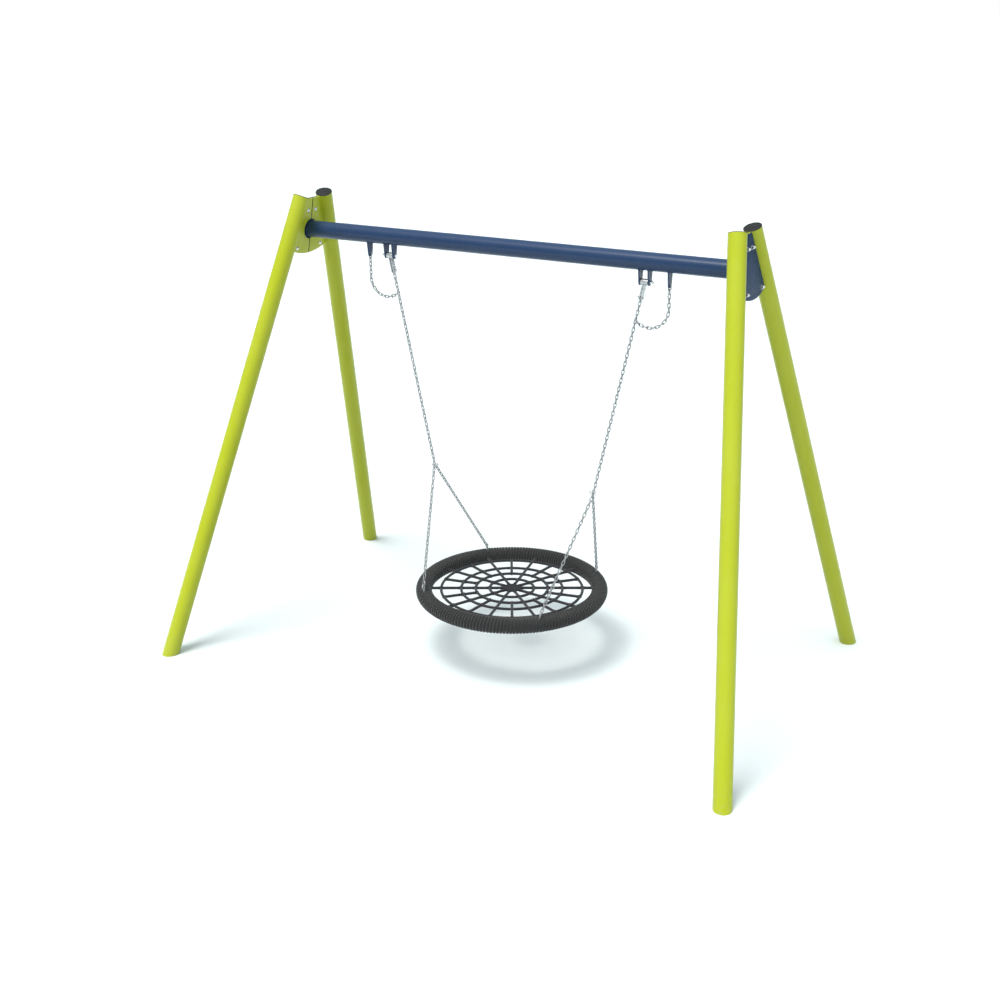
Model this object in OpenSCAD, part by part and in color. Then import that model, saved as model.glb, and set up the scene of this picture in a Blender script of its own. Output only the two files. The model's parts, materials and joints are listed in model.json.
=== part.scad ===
// Basket swing: a round rope seat on chains under a beam between two A-frames.
// Millimetres, +Z up. X runs along the beam, -Y is the front, the origin is on
// the ground in the middle between the four feet.

/* [A-frames] */
// Outer diameter of the leg tubes
leg_d = 101.6; // [76.1:0.1:127]
// Wall of the leg tubes
leg_wall = 3.6; // [2.6:0.1:6.3]
// Height of the leg tops, at the tube's axis
leg_top_h = 2753; // [2300:1:3300]
// Distance from the middle to a foot, along the beam
foot_x = 1845; // [1500:1:2300]
// Distance from the middle to a foot, front to rear
foot_y = 1117; // [900:1:1400]
// Distance from the middle to a leg top, along the beam
top_x = 1395; // [1250:1:1700]
// Distance from the middle to a leg top, front to rear
top_y = 114; // [100:1:150]
// Thickness of the plastic disc that closes a leg top
cap_t = 3; // [2:0.5:6]
// Depth of the cap's skirt inside the tube
cap_skirt = 15; // [8:1:30]

/* [Beam] */
// Outer diameter of the beam tube
beam_d = 101.6; // [76.1:0.1:127]
// Wall of the beam tube
beam_wall = 3.6; // [2.6:0.1:6.3]
// Height of the beam's axis above the ground
beam_h = 2542; // [2200:1:3000]

/* [Frame plates] */
// Thickness of the two half plates welded to a pair of legs
gusset_t = 8; // [6:1:12]
// Thickness of the plate welded to the end of the beam
end_plate_t = 10; // [6:1:14]
// How far the plates reach above the beam's axis, along the A-frame
plate_up = 193; // [170:1:200]
// How far the plates reach below the beam's axis, along the A-frame
plate_down = 152; // [140:1:170]
// Radius of the plates' curved lower edge
plate_arc_r = 440; // [350:1:600]
// Ring of air between the beam and the notch in the half plates
notch_gap = 11; // [6:1:14]
// Air between the end plate's edge and the leg tubes
end_plate_gap = 4; // [2:0.5:8]
// Thread diameter of the plate bolts
plate_bolt_d = 12; // [10:1:16]

/* [Beam hangers] */
// Distance from the middle to a hanger's bearing
pivot_x = 836; // [700:1:950]
// Distance from the bearing outwards to the safety lug
safety_offset = 147; // [120:1:180]
// Drop from the beam's underside to the bearing's axis
lug_drop = 64; // [55:1:90]
// Distance between the two lugs of a bearing, middle to middle
lug_pitch = 56; // [50:1:70]
// Thickness of a lug
lug_t = 8; // [6:0.5:10]
// Width of a lug at the beam
lug_top_w = 58; // [44:1:70]
// Radius of a lug's rounded end
lug_end_r = 17; // [15:1:22]
// Diameter of the pivot bolt
pivot_d = 12; // [10:1:16]
// Outer diameter of the bearing housing
housing_d = 36; // [32:1:48]
// Wall of the plain bushes
bush_wall = 3.9; // [2.5:0.1:5]
// Distance from the bearing down to the bolt that holds the chain
hanger_drop = 94; // [85:1:130]
// Width of the hanger straps
strap_w = 28; // [24:1:34]
// Thickness of the hanger straps
strap_t = 5; // [4:0.5:8]

/* [Chains] */
// Diameter of the chain wire
wire_d = 6; // [5:0.5:7]
// Distance from one link to the next
link_pitch = 25.8; // [22:0.1:32]
// Width of the space inside a link
link_inner_w = 8.4; // [7.8:0.1:11]
// Length of the shackle, from its bow to its bolt
shackle_len = 22; // [20:0.5:32]
// Inner width of the shackle
shackle_inner_w = 14; // [13.6:0.2:20]
// Distance of the safety chain's end below the bearing, in links of the main chain
safety_link = 5; // [3:2:9]
// Turn of the safety chain from hanging straight down to its end on the main chain
safety_turn = 126; // [110:1:150]
// Height of the basket's upper edge that the chains are cut for
seat_h = 460; // [380:1:600]
// Height of the chains' fork above the basket's upper edge
fork_rise = 685; // [450:1:900]

/* [Basket] */
// Outer diameter of the basket
basket_d = 1200; // [900:10:1300]
// Diameter of the steel tube inside the rim
core_d = 63.5; // [48.3:0.1:76.1]
// Wall of the steel tube
core_wall = 3; // [2:0.1:5]
// Thickness of the rope wound round the rim
winding_d = 19; // [14:0.5:24]
// Angle of the chain eyes on the rim, from the X axis
eye_angle = 45; // [35:1:55]
// Wire diameter of an eye
eye_wire_d = 8; // [6:0.5:8]
// Inner diameter of an eye
eye_inner_d = 14; // [12:0.5:20]
// Air between an eye and the rope winding under it
eye_lift = 5; // [2:1:15]

/* [Net] */
// Diameter of the net rope
net_rope_d = 14; // [10:1:18]
// Radius of the disc in the middle of the net
hub_r = 61; // [45:1:80]
// Thickness of the disc in the middle of the net
hub_t = 18; // [14:1:26]
// Number of spoke ropes
spoke_n = 10; // [8:2:14]
// Angle of the first spoke rope from the X axis
spoke_turn = 29; // [0:1:45]
// Radius of the first ring rope
ring_1_r = 139; // [110:1:160]
// Radius of the second ring rope
ring_2_r = 226; // [190:1:250]
// Radius of the third ring rope
ring_3_r = 317; // [280:1:345]
// Radius of the fourth ring rope
ring_4_r = 442; // [390:1:450]

/* [Hidden] */

// Colours
leg_green = [0.72, 0.80, 0.16];
beam_blue = [0.17, 0.27, 0.42];
cap_grey = [0.22, 0.23, 0.22];
zinc = [0.74, 0.76, 0.78];
bush_white = [0.88, 0.87, 0.82];
rope_black = [0.19, 0.19, 0.20];

// Clearances
weld_gap = 0.1;      // between a welded plate and the tube it is welded to
seat_play = 0.3;     // between loose pieces of one body, such as two chain links
skirt_play = 0.4;    // between a cap's skirt and the tube
hole_play = 0.25;    // between a bolt and a drilled hole, on the radius
thread_play = 0.1;   // between a bolt and its nut, on the radius
run_play = 0.05;     // between the pivot bolt and its bushes, on the radius
press_play = 0.05;   // between a bush and its housing, on the radius
flange_play = 0.5;   // between a bush's flange and the lug beside it
link_slack = 0.5;    // by which the links of the slack safety chain stand closer
bow_play = 0.35;     // between a link's bow and the bolt it hangs on, on the radius
slit = 2;            // between the two half plates of an A-frame
steps = 48;          // facets of the drawn circles
fine = 24;           // facets of the drawn circles on small pieces
wire_steps = 16;     // facets of the drawn chain wire

// A-frames: every leg lies in a plane that leans outwards from the beam
leg_r = leg_d / 2;
beam_r = beam_d / 2;
splay = atan((foot_x - top_x) / leg_top_h);
frame_x = top_x + (leg_top_h - beam_h) * tan(splay);
plane_top = (leg_top_h - beam_h) / cos(splay);
plane_foot = -beam_h / cos(splay);
leg_lean = atan((foot_y - top_y) / (plane_top - plane_foot));
leg_len = (plane_top - plane_foot) / cos(leg_lean);
foot_allow = leg_d;
ground = 2 * (foot_x + foot_y);

// Plates and their bolts, in the plane of the A-frame
notch_r = beam_r + notch_gap;
upper_bolt = [36, 118];
lower_bolt = [118, -108];
head_r = 13;
head_h = 7;
washer_t = 2.5;
nut_af = 19;
nut_h = 10;
thread_end = 8;

// Bearings
pivot_z = beam_h - beam_r - lug_drop;
pivot_r = pivot_d / 2;
lug_gap = lug_pitch - lug_t;
bush_r = pivot_r + run_play + bush_wall;
flange_t = 1.5;
flange_r = bush_r + 4;
housing_l = lug_gap - 2 * (flange_t + flange_play);
pivot_nut_h = 12;
pivot_end = 8;
pivot_head_h = 7.5;
safety_x = pivot_x + safety_offset;

// Chains: all of a hanging side lies in one plane that leans inwards
wire_r = wire_d / 2;
link_inner_l = link_pitch + seat_play;
link_r = (link_inner_w + wire_d) / 2;
chain_bolt_d = link_inner_w - 2 * bow_play;
chain_bolt_r = chain_bolt_d / 2;
chain_nut_af = 13;
chain_nut_h = 8;
chain_head_h = 5.5;
chain_bolt_end = 6;
on_bolt = (link_inner_l - link_inner_w) / 2;
strap_gap = wire_d + 3;
strap_out = strap_gap / 2 + strap_t;
rivet_r = 3;
rivet_drops = [49, 62];
rivet_head_r = 5.5;
rivet_head_h = 2.5;
shackle_r = (shackle_inner_w + wire_d) / 2;
shackle_eye_r = chain_bolt_r + 2.8;
shackle_out = shackle_inner_w / 2 + wire_d + 0.5;
into_shackle = link_inner_l / 2 - wire_r - seat_play;
fork_side = wire_r + seat_play;

// Rim and eyes
tube_r = core_d / 2 + winding_d;
rim_r = basket_d / 2 - tube_r;
eye_wire_r = eye_wire_d / 2;
eye_r = (eye_inner_d + eye_wire_d) / 2;
eye_rise = eye_r + eye_wire_r + eye_lift;
eye_stem = eye_rise + tube_r;
eye_x = rim_r * cos(eye_angle);
eye_y = rim_r * sin(eye_angle);
on_eye = link_inner_l / 2 - eye_wire_r - seat_play + eye_r;
neck_r = 6;
weld_sink = 1.5;

// Link counts: the bridles take an even number and the main chains an odd one,
// so that the links at both ends stand the right way for what they hold
eye_slope = norm([pivot_x - eye_x, pivot_z - seat_h - eye_rise]);
bridle_want = norm([eye_y, fork_rise - eye_rise]);
bridle_n = 2 * round(((bridle_want - on_bolt - on_eye) / link_pitch + 1) / 2);
bridle_len = on_bolt + on_eye + link_pitch * (bridle_n - 1);
bridle_drop = sqrt(bridle_len * bridle_len - eye_y * eye_y);
bridle_lean = asin(eye_y / bridle_len);
main_fixed = hanger_drop + on_bolt + into_shackle + shackle_len;
main_n = 2 * round((eye_slope - bridle_drop - main_fixed) / link_pitch / 2) + 1;
fork_s = main_fixed + link_pitch * (main_n - 1);
eye_s = fork_s + bridle_drop;
rim_s = eye_s + eye_stem;
chain_lean = asin((pivot_x - eye_x) / rim_s);
rim_z = pivot_z - rim_s * cos(chain_lean);

// Safety chain: a straight drop from its lug, then one arc up to the main chain
lug_link_w = 12;
lug_hole_r = 5;
held_s = hanger_drop + on_bolt + link_pitch * safety_link;
held_wire = [
    pivot_x - held_s * sin(chain_lean) + link_r * cos(chain_lean),
    pivot_z - held_s * cos(chain_lean) - link_r * sin(chain_lean)
];
safety_start = [safety_x, pivot_z - link_inner_l / 2 - wire_r];
held_slant = safety_turn - 90 - chain_lean;
on_held = link_inner_l / 2 + wire_r - (wire_d + seat_play) / cos(held_slant);
safety_end = held_wire + on_held * [sin(safety_turn), cos(safety_turn)];
safety_r = (safety_start[0] - safety_end[0]) / (1 - cos(safety_turn));
safety_straight = safety_start[1] - safety_end[1] - safety_r * sin(safety_turn);
safety_l = safety_straight + safety_r * safety_turn * PI / 180;
safety_n = 2 * ceil((safety_l / (link_pitch - link_slack) + 1) / 2);
safety_step = safety_l / (safety_n - 1);
function safety_angle(s) = max(0, (s - safety_straight) / safety_r * 180 / PI);
function safety_point(s) = s < safety_straight
    ? safety_start - [0, s]
    : safety_start - [0, safety_straight]
        - safety_r * [1 - cos(safety_angle(s)), sin(safety_angle(s))];

// Half of the swing that lies on one side of the middle: 1 is right, -1 is left
module side(s) {
    if (s < 0) mirror([1, 0, 0]) children();
    else children();
}

// Frame of an A-frame's plane: X is its normal, Z runs up the plane
module on_plane() {
    translate([frame_x, 0, beam_h]) rotate([0, -splay, 0]) children();
}

// Frame of a leg: Z runs up its axis, the origin is the middle of its top
module on_leg(s, f) {
    side(s) on_plane() translate([0, f * top_y, plane_top])
        rotate([f * leg_lean, 0, 0]) children();
}

// Frame of a bearing, level, with X along the pivot bolt
module on_pivot(s) {
    side(s) translate([pivot_x, 0, pivot_z]) children();
}

// Frame of a hanging side: -Z runs down the chain, X is the normal of its plane
module on_chain(s) {
    on_pivot(s) rotate([0, chain_lean, 0]) children();
}

// A flat outline in Y and Z, thickened along X from x0
module plate(x0, t) {
    translate([x0, 0, 0]) rotate([90, 0, 90]) linear_extrude(t) children();
}

// A round bar along X
module bar(x0, l, r, fn = fine) {
    translate([x0, 0, 0]) rotate([0, 90, 0]) cylinder(r = r, h = l, $fn = fn);
}

// A hexagon bar along X, from its width across flats
module hex_bar(x0, l, af) {
    translate([x0, 0, 0]) rotate([0, 90, 0]) cylinder(d = af / cos(30), h = l, $fn = 6);
}

// A nut along X on a bolt of radius r
module nut(x0, h, af, r) {
    difference() {
        hex_bar(x0, h, af);
        bar(x0 - 1, h + 2, r + thread_play);
    }
}

// Half a ring of round wire in X and Z, open downwards
module bow(r, wire) {
    rotate([90, 0, 0]) rotate_extrude(angle = 180, $fn = fine) translate([r, 0])
        circle(d = wire, $fn = wire_steps);
}

// One chain link in X and Z, centred
module link(inner_w = link_inner_w) {
    r = (inner_w + wire_d) / 2;
    straight = (link_inner_l - inner_w) / 2;
    for (x = [-r, r]) translate([x, 0, -straight])
        cylinder(d = wire_d, h = 2 * straight, $fn = wire_steps);
    translate([0, 0, straight]) bow(r, wire_d);
    translate([0, 0, -straight]) rotate([180, 0, 0]) bow(r, wire_d);
}

// n links down -Z, the first one square to X
module chain(n) {
    for (i = [0 : n - 1]) translate([0, 0, -i * link_pitch])
        rotate([0, 0, i % 2 == 0 ? 90 : 0]) link();
}

// ---- frame ----

module leg(s, f) {
    color(leg_green) difference() {
        on_leg(s, f) translate([0, 0, -leg_len - foot_allow]) difference() {
            cylinder(r = leg_r, h = leg_len + foot_allow, $fn = steps);
            translate([0, 0, -1])
                cylinder(r = leg_r - leg_wall, h = leg_len + foot_allow + 2, $fn = steps);
        }
        translate([-ground / 2, -ground / 2, -ground]) cube(ground);
    }
}

module cap(s, f) {
    skirt_r = leg_r - leg_wall - skirt_play;
    color(cap_grey) on_leg(s, f) {
        cylinder(r = leg_r, h = cap_t, $fn = steps);
        translate([0, 0, -cap_skirt]) difference() {
            cylinder(r = skirt_r, h = cap_skirt, $fn = steps);
            translate([0, 0, -1]) cylinder(r = skirt_r - cap_t, h = cap_skirt + 1, $fn = steps);
        }
    }
}

// Outline between the two legs, its sides a distance away from the leg tubes
module plate_outline(gap) {
    edge = (leg_r + gap) / cos(leg_lean);
    up_w = top_y + (plane_top - plate_up) * tan(leg_lean) - edge;
    down_w = top_y + (plane_top + plate_down) * tan(leg_lean) - edge;
    intersection() {
        polygon([
            [-up_w, plate_up], [up_w, plate_up],
            [down_w, -plate_down], [-down_w, -plate_down]
        ]);
        translate([0, plate_arc_r - plate_down]) circle(r = plate_arc_r, $fn = 2 * steps);
    }
}

module bolt_holes() {
    for (f = [-1, 1], p = [upper_bolt, lower_bolt])
        translate([f * p[0], p[1]]) circle(r = plate_bolt_d / 2 + hole_play, $fn = fine);
}

module at_plate_bolts() {
    for (s = [-1, 1], f = [-1, 1], p = [upper_bolt, lower_bolt])
        side(s) on_plane() translate([0, f * p[0], p[1]]) children();
}

// Half plate welded to one leg, notched round the beam
module gusset(s, f) {
    color(leg_green) side(s) on_plane() plate(-gusset_t / 2, gusset_t) difference() {
        intersection() {
            plate_outline(weld_gap);
            translate([f > 0 ? slit / 2 : -slit / 2 - ground, -ground / 2]) square(ground);
        }
        circle(r = notch_r, $fn = steps);
        bolt_holes();
    }
}

// Plate welded to the beam's end and bolted to both half plates
module beam_end_plate(s) {
    color(beam_blue) side(s) on_plane() plate(gusset_t / 2, end_plate_t) difference() {
        plate_outline(end_plate_gap);
        bolt_holes();
    }
}

module beam_tube() {
    half = frame_x + beam_d;
    color(beam_blue) difference() {
        bar(-half, 2 * half, beam_r, steps);
        bar(-half - 1, 2 * half + 2, beam_r - beam_wall, steps);
        for (s = [-1, 1]) translate([0, 0, -beam_h]) side(s) on_plane()
            translate([gusset_t / 2, -beam_d, -beam_d]) cube(2 * beam_d);
    }
}

// Mushroom-head bolts: the head inside, the thread through both plates
module gusset_bolts() {
    dome_r = (head_r * head_r + head_h * head_h) / (2 * head_h);
    shank = gusset_t + end_plate_t + washer_t + nut_h + thread_end;
    color(zinc) at_plate_bolts() {
        bar(-gusset_t / 2 - 1, shank + 1, plate_bolt_d / 2);
        intersection() {
            translate([dome_r - head_h - gusset_t / 2, 0, 0]) sphere(r = dome_r, $fn = fine);
            bar(-head_h - gusset_t / 2, head_h, head_r + 1);
        }
    }
}

module gusset_nuts() {
    color(zinc) at_plate_bolts()
        nut(gusset_t / 2 + end_plate_t + washer_t, nut_h, nut_af, plate_bolt_d / 2);
}

module gusset_washers() {
    color(zinc) at_plate_bolts() difference() {
        bar(gusset_t / 2 + end_plate_t, washer_t, plate_bolt_d);
        bar(gusset_t / 2 + end_plate_t - 1, washer_t + 2, plate_bolt_d / 2 + hole_play);
    }
}

// ---- beam hangers ----

// Lug with its hole at the origin, tapered up to the beam's underside
module lug(x0, hole_r) {
    rise = beam_r + lug_drop;
    half_w = lug_top_w / 2;
    reach = atan2(rise, half_w) - acos(lug_end_r / norm([half_w, rise]));
    tip = lug_end_r * [cos(reach), sin(reach)];
    difference() {
        union() {
            bar(x0, lug_t, lug_end_r, steps);
            plate(x0, lug_t) polygon([tip, [half_w, rise], [-half_w, rise], [-tip[0], tip[1]]]);
        }
        bar(x0 - 1, lug_t + 2, hole_r);
        translate([0, 0, rise]) bar(x0 - 1, lug_t + 2, beam_r + weld_gap, steps);
    }
}

module bearing_lugs(s) {
    color(beam_blue) on_pivot(s)
        for (x = [-lug_pitch / 2, lug_pitch / 2]) lug(x - lug_t / 2, pivot_r + hole_play);
}

module safety_lug(s) {
    color(beam_blue) on_pivot(s) translate([safety_offset, 0, 0]) lug(-lug_t / 2, lug_hole_r);
}

module pivot_bolts() {
    out = lug_pitch / 2 + lug_t / 2;
    color(zinc) for (s = [-1, 1]) on_pivot(s) {
        bar(-out, 2 * out + washer_t + pivot_nut_h + pivot_end, pivot_r);
        hex_bar(-out - pivot_head_h, pivot_head_h, nut_af);
    }
}

module pivot_nuts() {
    out = lug_pitch / 2 + lug_t / 2;
    color(zinc) for (s = [-1, 1]) on_pivot(s) nut(out + washer_t, pivot_nut_h, nut_af, pivot_r);
}

module pivot_washers() {
    out = lug_pitch / 2 + lug_t / 2;
    color(zinc) for (s = [-1, 1]) on_pivot(s) difference() {
        bar(out, washer_t, pivot_d);
        bar(out - 1, washer_t + 2, pivot_r + hole_play);
    }
}

module bearing_housing(s) {
    color(zinc) on_pivot(s) difference() {
        bar(-housing_l / 2, housing_l, housing_d / 2, steps);
        bar(-housing_l / 2 - 1, housing_l + 2, bush_r + press_play, steps);
    }
}

// Two flanged bushes, one from each end of the housing
module bushes(s) {
    bush_l = housing_l / 2 - 1;
    color(bush_white) on_pivot(s) for (e = [0, 180]) rotate([0, 0, e]) difference() {
        union() {
            bar(housing_l / 2 - bush_l, bush_l + flange_t, bush_r, steps);
            bar(housing_l / 2, flange_t, flange_r, steps);
        }
        bar(housing_l / 2 - bush_l - 1, bush_l + flange_t + 2, pivot_r + run_play, steps);
    }
}

// Two straps welded under the housing, with the chain's first link between them
module hanger_straps(s) {
    color(zinc) difference() {
        on_chain(s) for (x = [-strap_out, strap_gap / 2]) plate(x, strap_t) difference() {
            union() {
                translate([-strap_w / 2, -hanger_drop]) square([strap_w, hanger_drop]);
                translate([0, -hanger_drop]) circle(d = strap_w, $fn = steps);
            }
            translate([0, -hanger_drop]) circle(r = chain_bolt_r + hole_play, $fn = fine);
            for (z = rivet_drops) translate([0, -z]) circle(r = rivet_r + thread_play, $fn = fine);
        }
        on_pivot(s) bar(-housing_l, 2 * housing_l, housing_d / 2 + weld_gap, steps);
    }
}

module hanger_rivets() {
    color(zinc) for (s = [-1, 1], z = rivet_drops) on_chain(s) translate([0, 0, -z]) {
        bar(-strap_out - 1, 2 * strap_out + 2, rivet_r);
        for (x = [-strap_out - rivet_head_h, strap_out]) bar(x, rivet_head_h, rivet_head_r);
    }
}

// A bolt along X with a link bow on it: head outwards, nut towards the middle
module chain_bolt(out) {
    bar(-out - chain_nut_h - chain_bolt_end, 2 * out + chain_nut_h + chain_bolt_end, chain_bolt_r);
    hex_bar(out, chain_head_h, chain_nut_af);
}

module hanger_bolts() {
    color(zinc) for (s = [-1, 1]) on_chain(s) translate([0, 0, -hanger_drop]) chain_bolt(strap_out);
}

module hanger_nuts() {
    color(zinc) for (s = [-1, 1]) on_chain(s) translate([0, 0, -hanger_drop])
        nut(-strap_out - chain_nut_h, chain_nut_h, chain_nut_af, chain_bolt_r);
}

// ---- chains ----

module main_chain(s) {
    color(zinc) on_chain(s) translate([0, 0, -hanger_drop - on_bolt]) chain(main_n);
}

module safety_chain(s) {
    color(zinc) side(s) for (i = [0 : safety_n - 1]) {
        p = safety_point(i * safety_step);
        translate([p[0], 0, p[1]]) rotate([0, safety_angle(i * safety_step), 0])
            rotate([0, 0, i % 2 == 0 ? 0 : 90]) link(i == 0 ? lug_link_w : link_inner_w);
    }
}

// Bow shackle: the main chain in its bow, both bridles on its bolt
module shackle(s) {
    color(zinc) on_chain(s) translate([0, 0, -fork_s]) difference() {
        union() {
            translate([0, 0, shackle_len - shackle_r]) bow(shackle_r, wire_d);
            for (x = [-shackle_r, shackle_r]) translate([x, 0, 0])
                cylinder(d = wire_d, h = shackle_len - shackle_r, $fn = wire_steps);
            for (x = [-shackle_out, shackle_inner_w / 2])
                bar(x, shackle_out - shackle_inner_w / 2, shackle_eye_r);
        }
        bar(-shackle_out - 1, 2 * shackle_out + 2, chain_bolt_r + thread_play);
    }
}

module shackle_bolts() {
    color(zinc) for (s = [-1, 1]) on_chain(s) translate([0, 0, -fork_s]) chain_bolt(shackle_out);
}

module shackle_nuts() {
    color(zinc) for (s = [-1, 1]) on_chain(s) translate([0, 0, -fork_s])
        nut(-shackle_out - chain_nut_h, chain_nut_h, chain_nut_af, chain_bolt_r);
}

module bridle(s, f) {
    color(zinc) on_chain(s) translate([-f * fork_side, 0, -fork_s])
        rotate([f * bridle_lean, 0, 0]) translate([0, 0, -on_bolt]) chain(bridle_n);
}

// ---- basket ----

module at_eyes() {
    for (s = [-1, 1], f = [-1, 1]) on_chain(s)
        translate([-f * fork_side, f * eye_y, -eye_s]) children();
}

module rim_ring(outer_r, inner_r) {
    translate([0, 0, rim_z]) rotate_extrude($fn = 2 * steps) translate([rim_r, 0]) difference() {
        circle(r = outer_r, $fn = steps);
        circle(r = inner_r, $fn = steps);
    }
}

module rim_core() {
    color(zinc) rim_ring(core_d / 2, core_d / 2 - core_wall);
}

// Rope wound round the core, as one shell with a hole for each eye's stem
module rim_winding() {
    color(rope_black) difference() {
        rim_ring(tube_r, core_d / 2 + seat_play);
        at_eyes() translate([0, 0, -eye_stem])
            cylinder(r = neck_r + seat_play, h = eye_stem, $fn = fine);
    }
}

// Eyes welded to the core: a ring for the chain's last link on a round stem
module rim_eyes() {
    stem = eye_stem - core_d / 2 + weld_sink - eye_r;
    color(zinc) at_eyes() {
        rotate([0, 90, 0]) rotate_extrude($fn = fine) translate([eye_r, 0])
            circle(r = eye_wire_r, $fn = wire_steps);
        translate([0, 0, -eye_r - stem]) cylinder(r = neck_r, h = stem, $fn = fine);
    }
}

module net_hub() {
    edge = hub_t / 2;
    color(rope_black) translate([0, 0, rim_z]) rotate_extrude($fn = steps) {
        translate([0, -edge]) square([hub_r - edge, hub_t]);
        intersection() {
            translate([hub_r - edge, 0]) circle(r = edge, $fn = fine);
            translate([0, -edge]) square([hub_r, hub_t]);
        }
    }
}

// Ropes like wheel spokes between two radii, turned by an angle
module spokes(turn, from_r, to_r) {
    for (i = [0 : spoke_n - 1]) translate([0, 0, rim_z]) rotate([0, 0, turn + i * 360 / spoke_n])
        bar(from_r, to_r - from_r, net_rope_d / 2);
}

// Long ropes from the hub into the winding
module net_spokes() {
    into_winding = 14;
    color(rope_black) spokes(spoke_turn, hub_r - hub_t / 2, rim_r - tube_r + into_winding);
}

// Short ropes between the long ones, from the second ring to the fourth
module net_branches() {
    color(rope_black) spokes(spoke_turn + 180 / spoke_n, ring_2_r, ring_4_r);
}

module net_ring(r) {
    color(rope_black) translate([0, 0, rim_z]) rotate_extrude($fn = 2 * steps) translate([r, 0])
        circle(d = net_rope_d, $fn = fine);
}

translate([0, 0, beam_h]) beam_tube();
beam_end_plate(-1);  // beam_end_plate_left
beam_end_plate(1);  // beam_end_plate_right
leg(-1, -1);  // leg_left_front
leg(-1, 1);  // leg_left_rear
leg(1, -1);  // leg_right_front
leg(1, 1);  // leg_right_rear
gusset(-1, -1);  // gusset_left_front
gusset(-1, 1);  // gusset_left_rear
gusset(1, -1);  // gusset_right_front
gusset(1, 1);  // gusset_right_rear
cap(-1, -1);  // cap_left_front
cap(-1, 1);  // cap_left_rear
cap(1, -1);  // cap_right_front
cap(1, 1);  // cap_right_rear
gusset_bolts();
gusset_nuts();
gusset_washers();
bearing_lugs(-1);  // bearing_lugs_left
bearing_lugs(1);  // bearing_lugs_right
safety_lug(-1);  // safety_lug_left
safety_lug(1);  // safety_lug_right
pivot_bolts();
pivot_nuts();
pivot_washers();
bearing_housing(-1);  // bearing_housing_left
bearing_housing(1);  // bearing_housing_right
bushes(-1);  // bushes_left
bushes(1);  // bushes_right
hanger_straps(-1);  // hanger_straps_left
hanger_straps(1);  // hanger_straps_right
hanger_rivets();
hanger_bolts();
hanger_nuts();
main_chain(-1);  // main_chain_left
main_chain(1);  // main_chain_right
safety_chain(-1);  // safety_chain_left
safety_chain(1);  // safety_chain_right
shackle(-1);  // shackle_left
shackle(1);  // shackle_right
shackle_bolts();
shackle_nuts();
bridle(-1, -1);  // bridle_left_front
bridle(-1, 1);  // bridle_left_rear
bridle(1, -1);  // bridle_right_front
bridle(1, 1);  // bridle_right_rear
rim_core();
rim_winding();
rim_eyes();
net_hub();
net_spokes();
net_branches();
net_ring(ring_1_r);  // net_ring_1
net_ring(ring_2_r);  // net_ring_2
net_ring(ring_3_r);  // net_ring_3
net_ring(ring_4_r);  // net_ring_4
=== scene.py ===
import json
from math import asin, atan2, cos, degrees, hypot, pi, radians, sin, tan
import bpy
import numpy as np
from mathutils import Matrix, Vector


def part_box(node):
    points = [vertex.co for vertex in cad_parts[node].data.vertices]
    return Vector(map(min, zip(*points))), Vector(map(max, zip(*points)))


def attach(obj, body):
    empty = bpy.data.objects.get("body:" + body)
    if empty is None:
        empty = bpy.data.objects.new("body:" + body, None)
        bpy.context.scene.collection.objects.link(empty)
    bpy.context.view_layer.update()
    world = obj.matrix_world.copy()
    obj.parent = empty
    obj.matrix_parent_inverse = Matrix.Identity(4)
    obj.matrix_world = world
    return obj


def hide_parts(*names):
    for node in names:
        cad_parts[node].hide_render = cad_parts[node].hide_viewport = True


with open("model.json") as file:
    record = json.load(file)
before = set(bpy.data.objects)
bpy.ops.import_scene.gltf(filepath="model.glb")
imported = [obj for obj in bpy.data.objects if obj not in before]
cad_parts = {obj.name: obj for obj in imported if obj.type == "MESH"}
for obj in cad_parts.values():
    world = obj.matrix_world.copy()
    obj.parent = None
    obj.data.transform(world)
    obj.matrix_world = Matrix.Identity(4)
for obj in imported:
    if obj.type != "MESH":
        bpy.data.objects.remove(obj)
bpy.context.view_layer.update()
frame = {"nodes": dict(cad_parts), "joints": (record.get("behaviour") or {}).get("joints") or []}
nodes = frame["nodes"]

# ---------------------------------------------------------------------------
# Camera. It stands well above head height in front of the right A-frame, turned to the left
# and tipped down on the middle of the swing.
# ---------------------------------------------------------------------------
camera_at = (3.9043, -7.1002, 4.0023)
camera_turn = 29.316      # degrees to the left of straight ahead
camera_tip = 20.337       # degrees down
camera_roll = -0.18       # degrees about its own line of sight
camera_lens = 50.81       # millimetres

camera = bpy.data.objects.new("camera", bpy.data.cameras.new("camera"))
bpy.context.scene.collection.objects.link(camera)
camera.data.lens = camera_lens
camera.data.sensor_width = 36.0
camera.data.clip_end = 200.0
camera.matrix_world = (
    Matrix.Translation(camera_at)
    @ Matrix.Rotation(radians(camera_turn), 4, "Z")
    @ Matrix.Rotation(radians(90.0 - camera_tip), 4, "X")
    @ Matrix.Rotation(radians(camera_roll), 4, "Z")
)
bpy.context.scene.camera = camera

# ---------------------------------------------------------------------------
# Studio. A pale seamless floor, which sends back less light than it shows, a pale surround,
# one broad key light high in front and a tall soft panel on the right.
# ---------------------------------------------------------------------------
bpy.context.scene.view_settings.view_transform = "Standard"
bpy.context.scene.view_settings.look = "None"


def add_node(tree, kind, values=None, **settings):
    """A new node of that kind, with its settings and the values of its inputs."""
    node = tree.nodes.new(kind)
    for name, value in settings.items():
        setattr(node, name, value)
    for name, value in (values or {}).items():
        node.inputs[name].default_value = value
    return node


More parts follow.
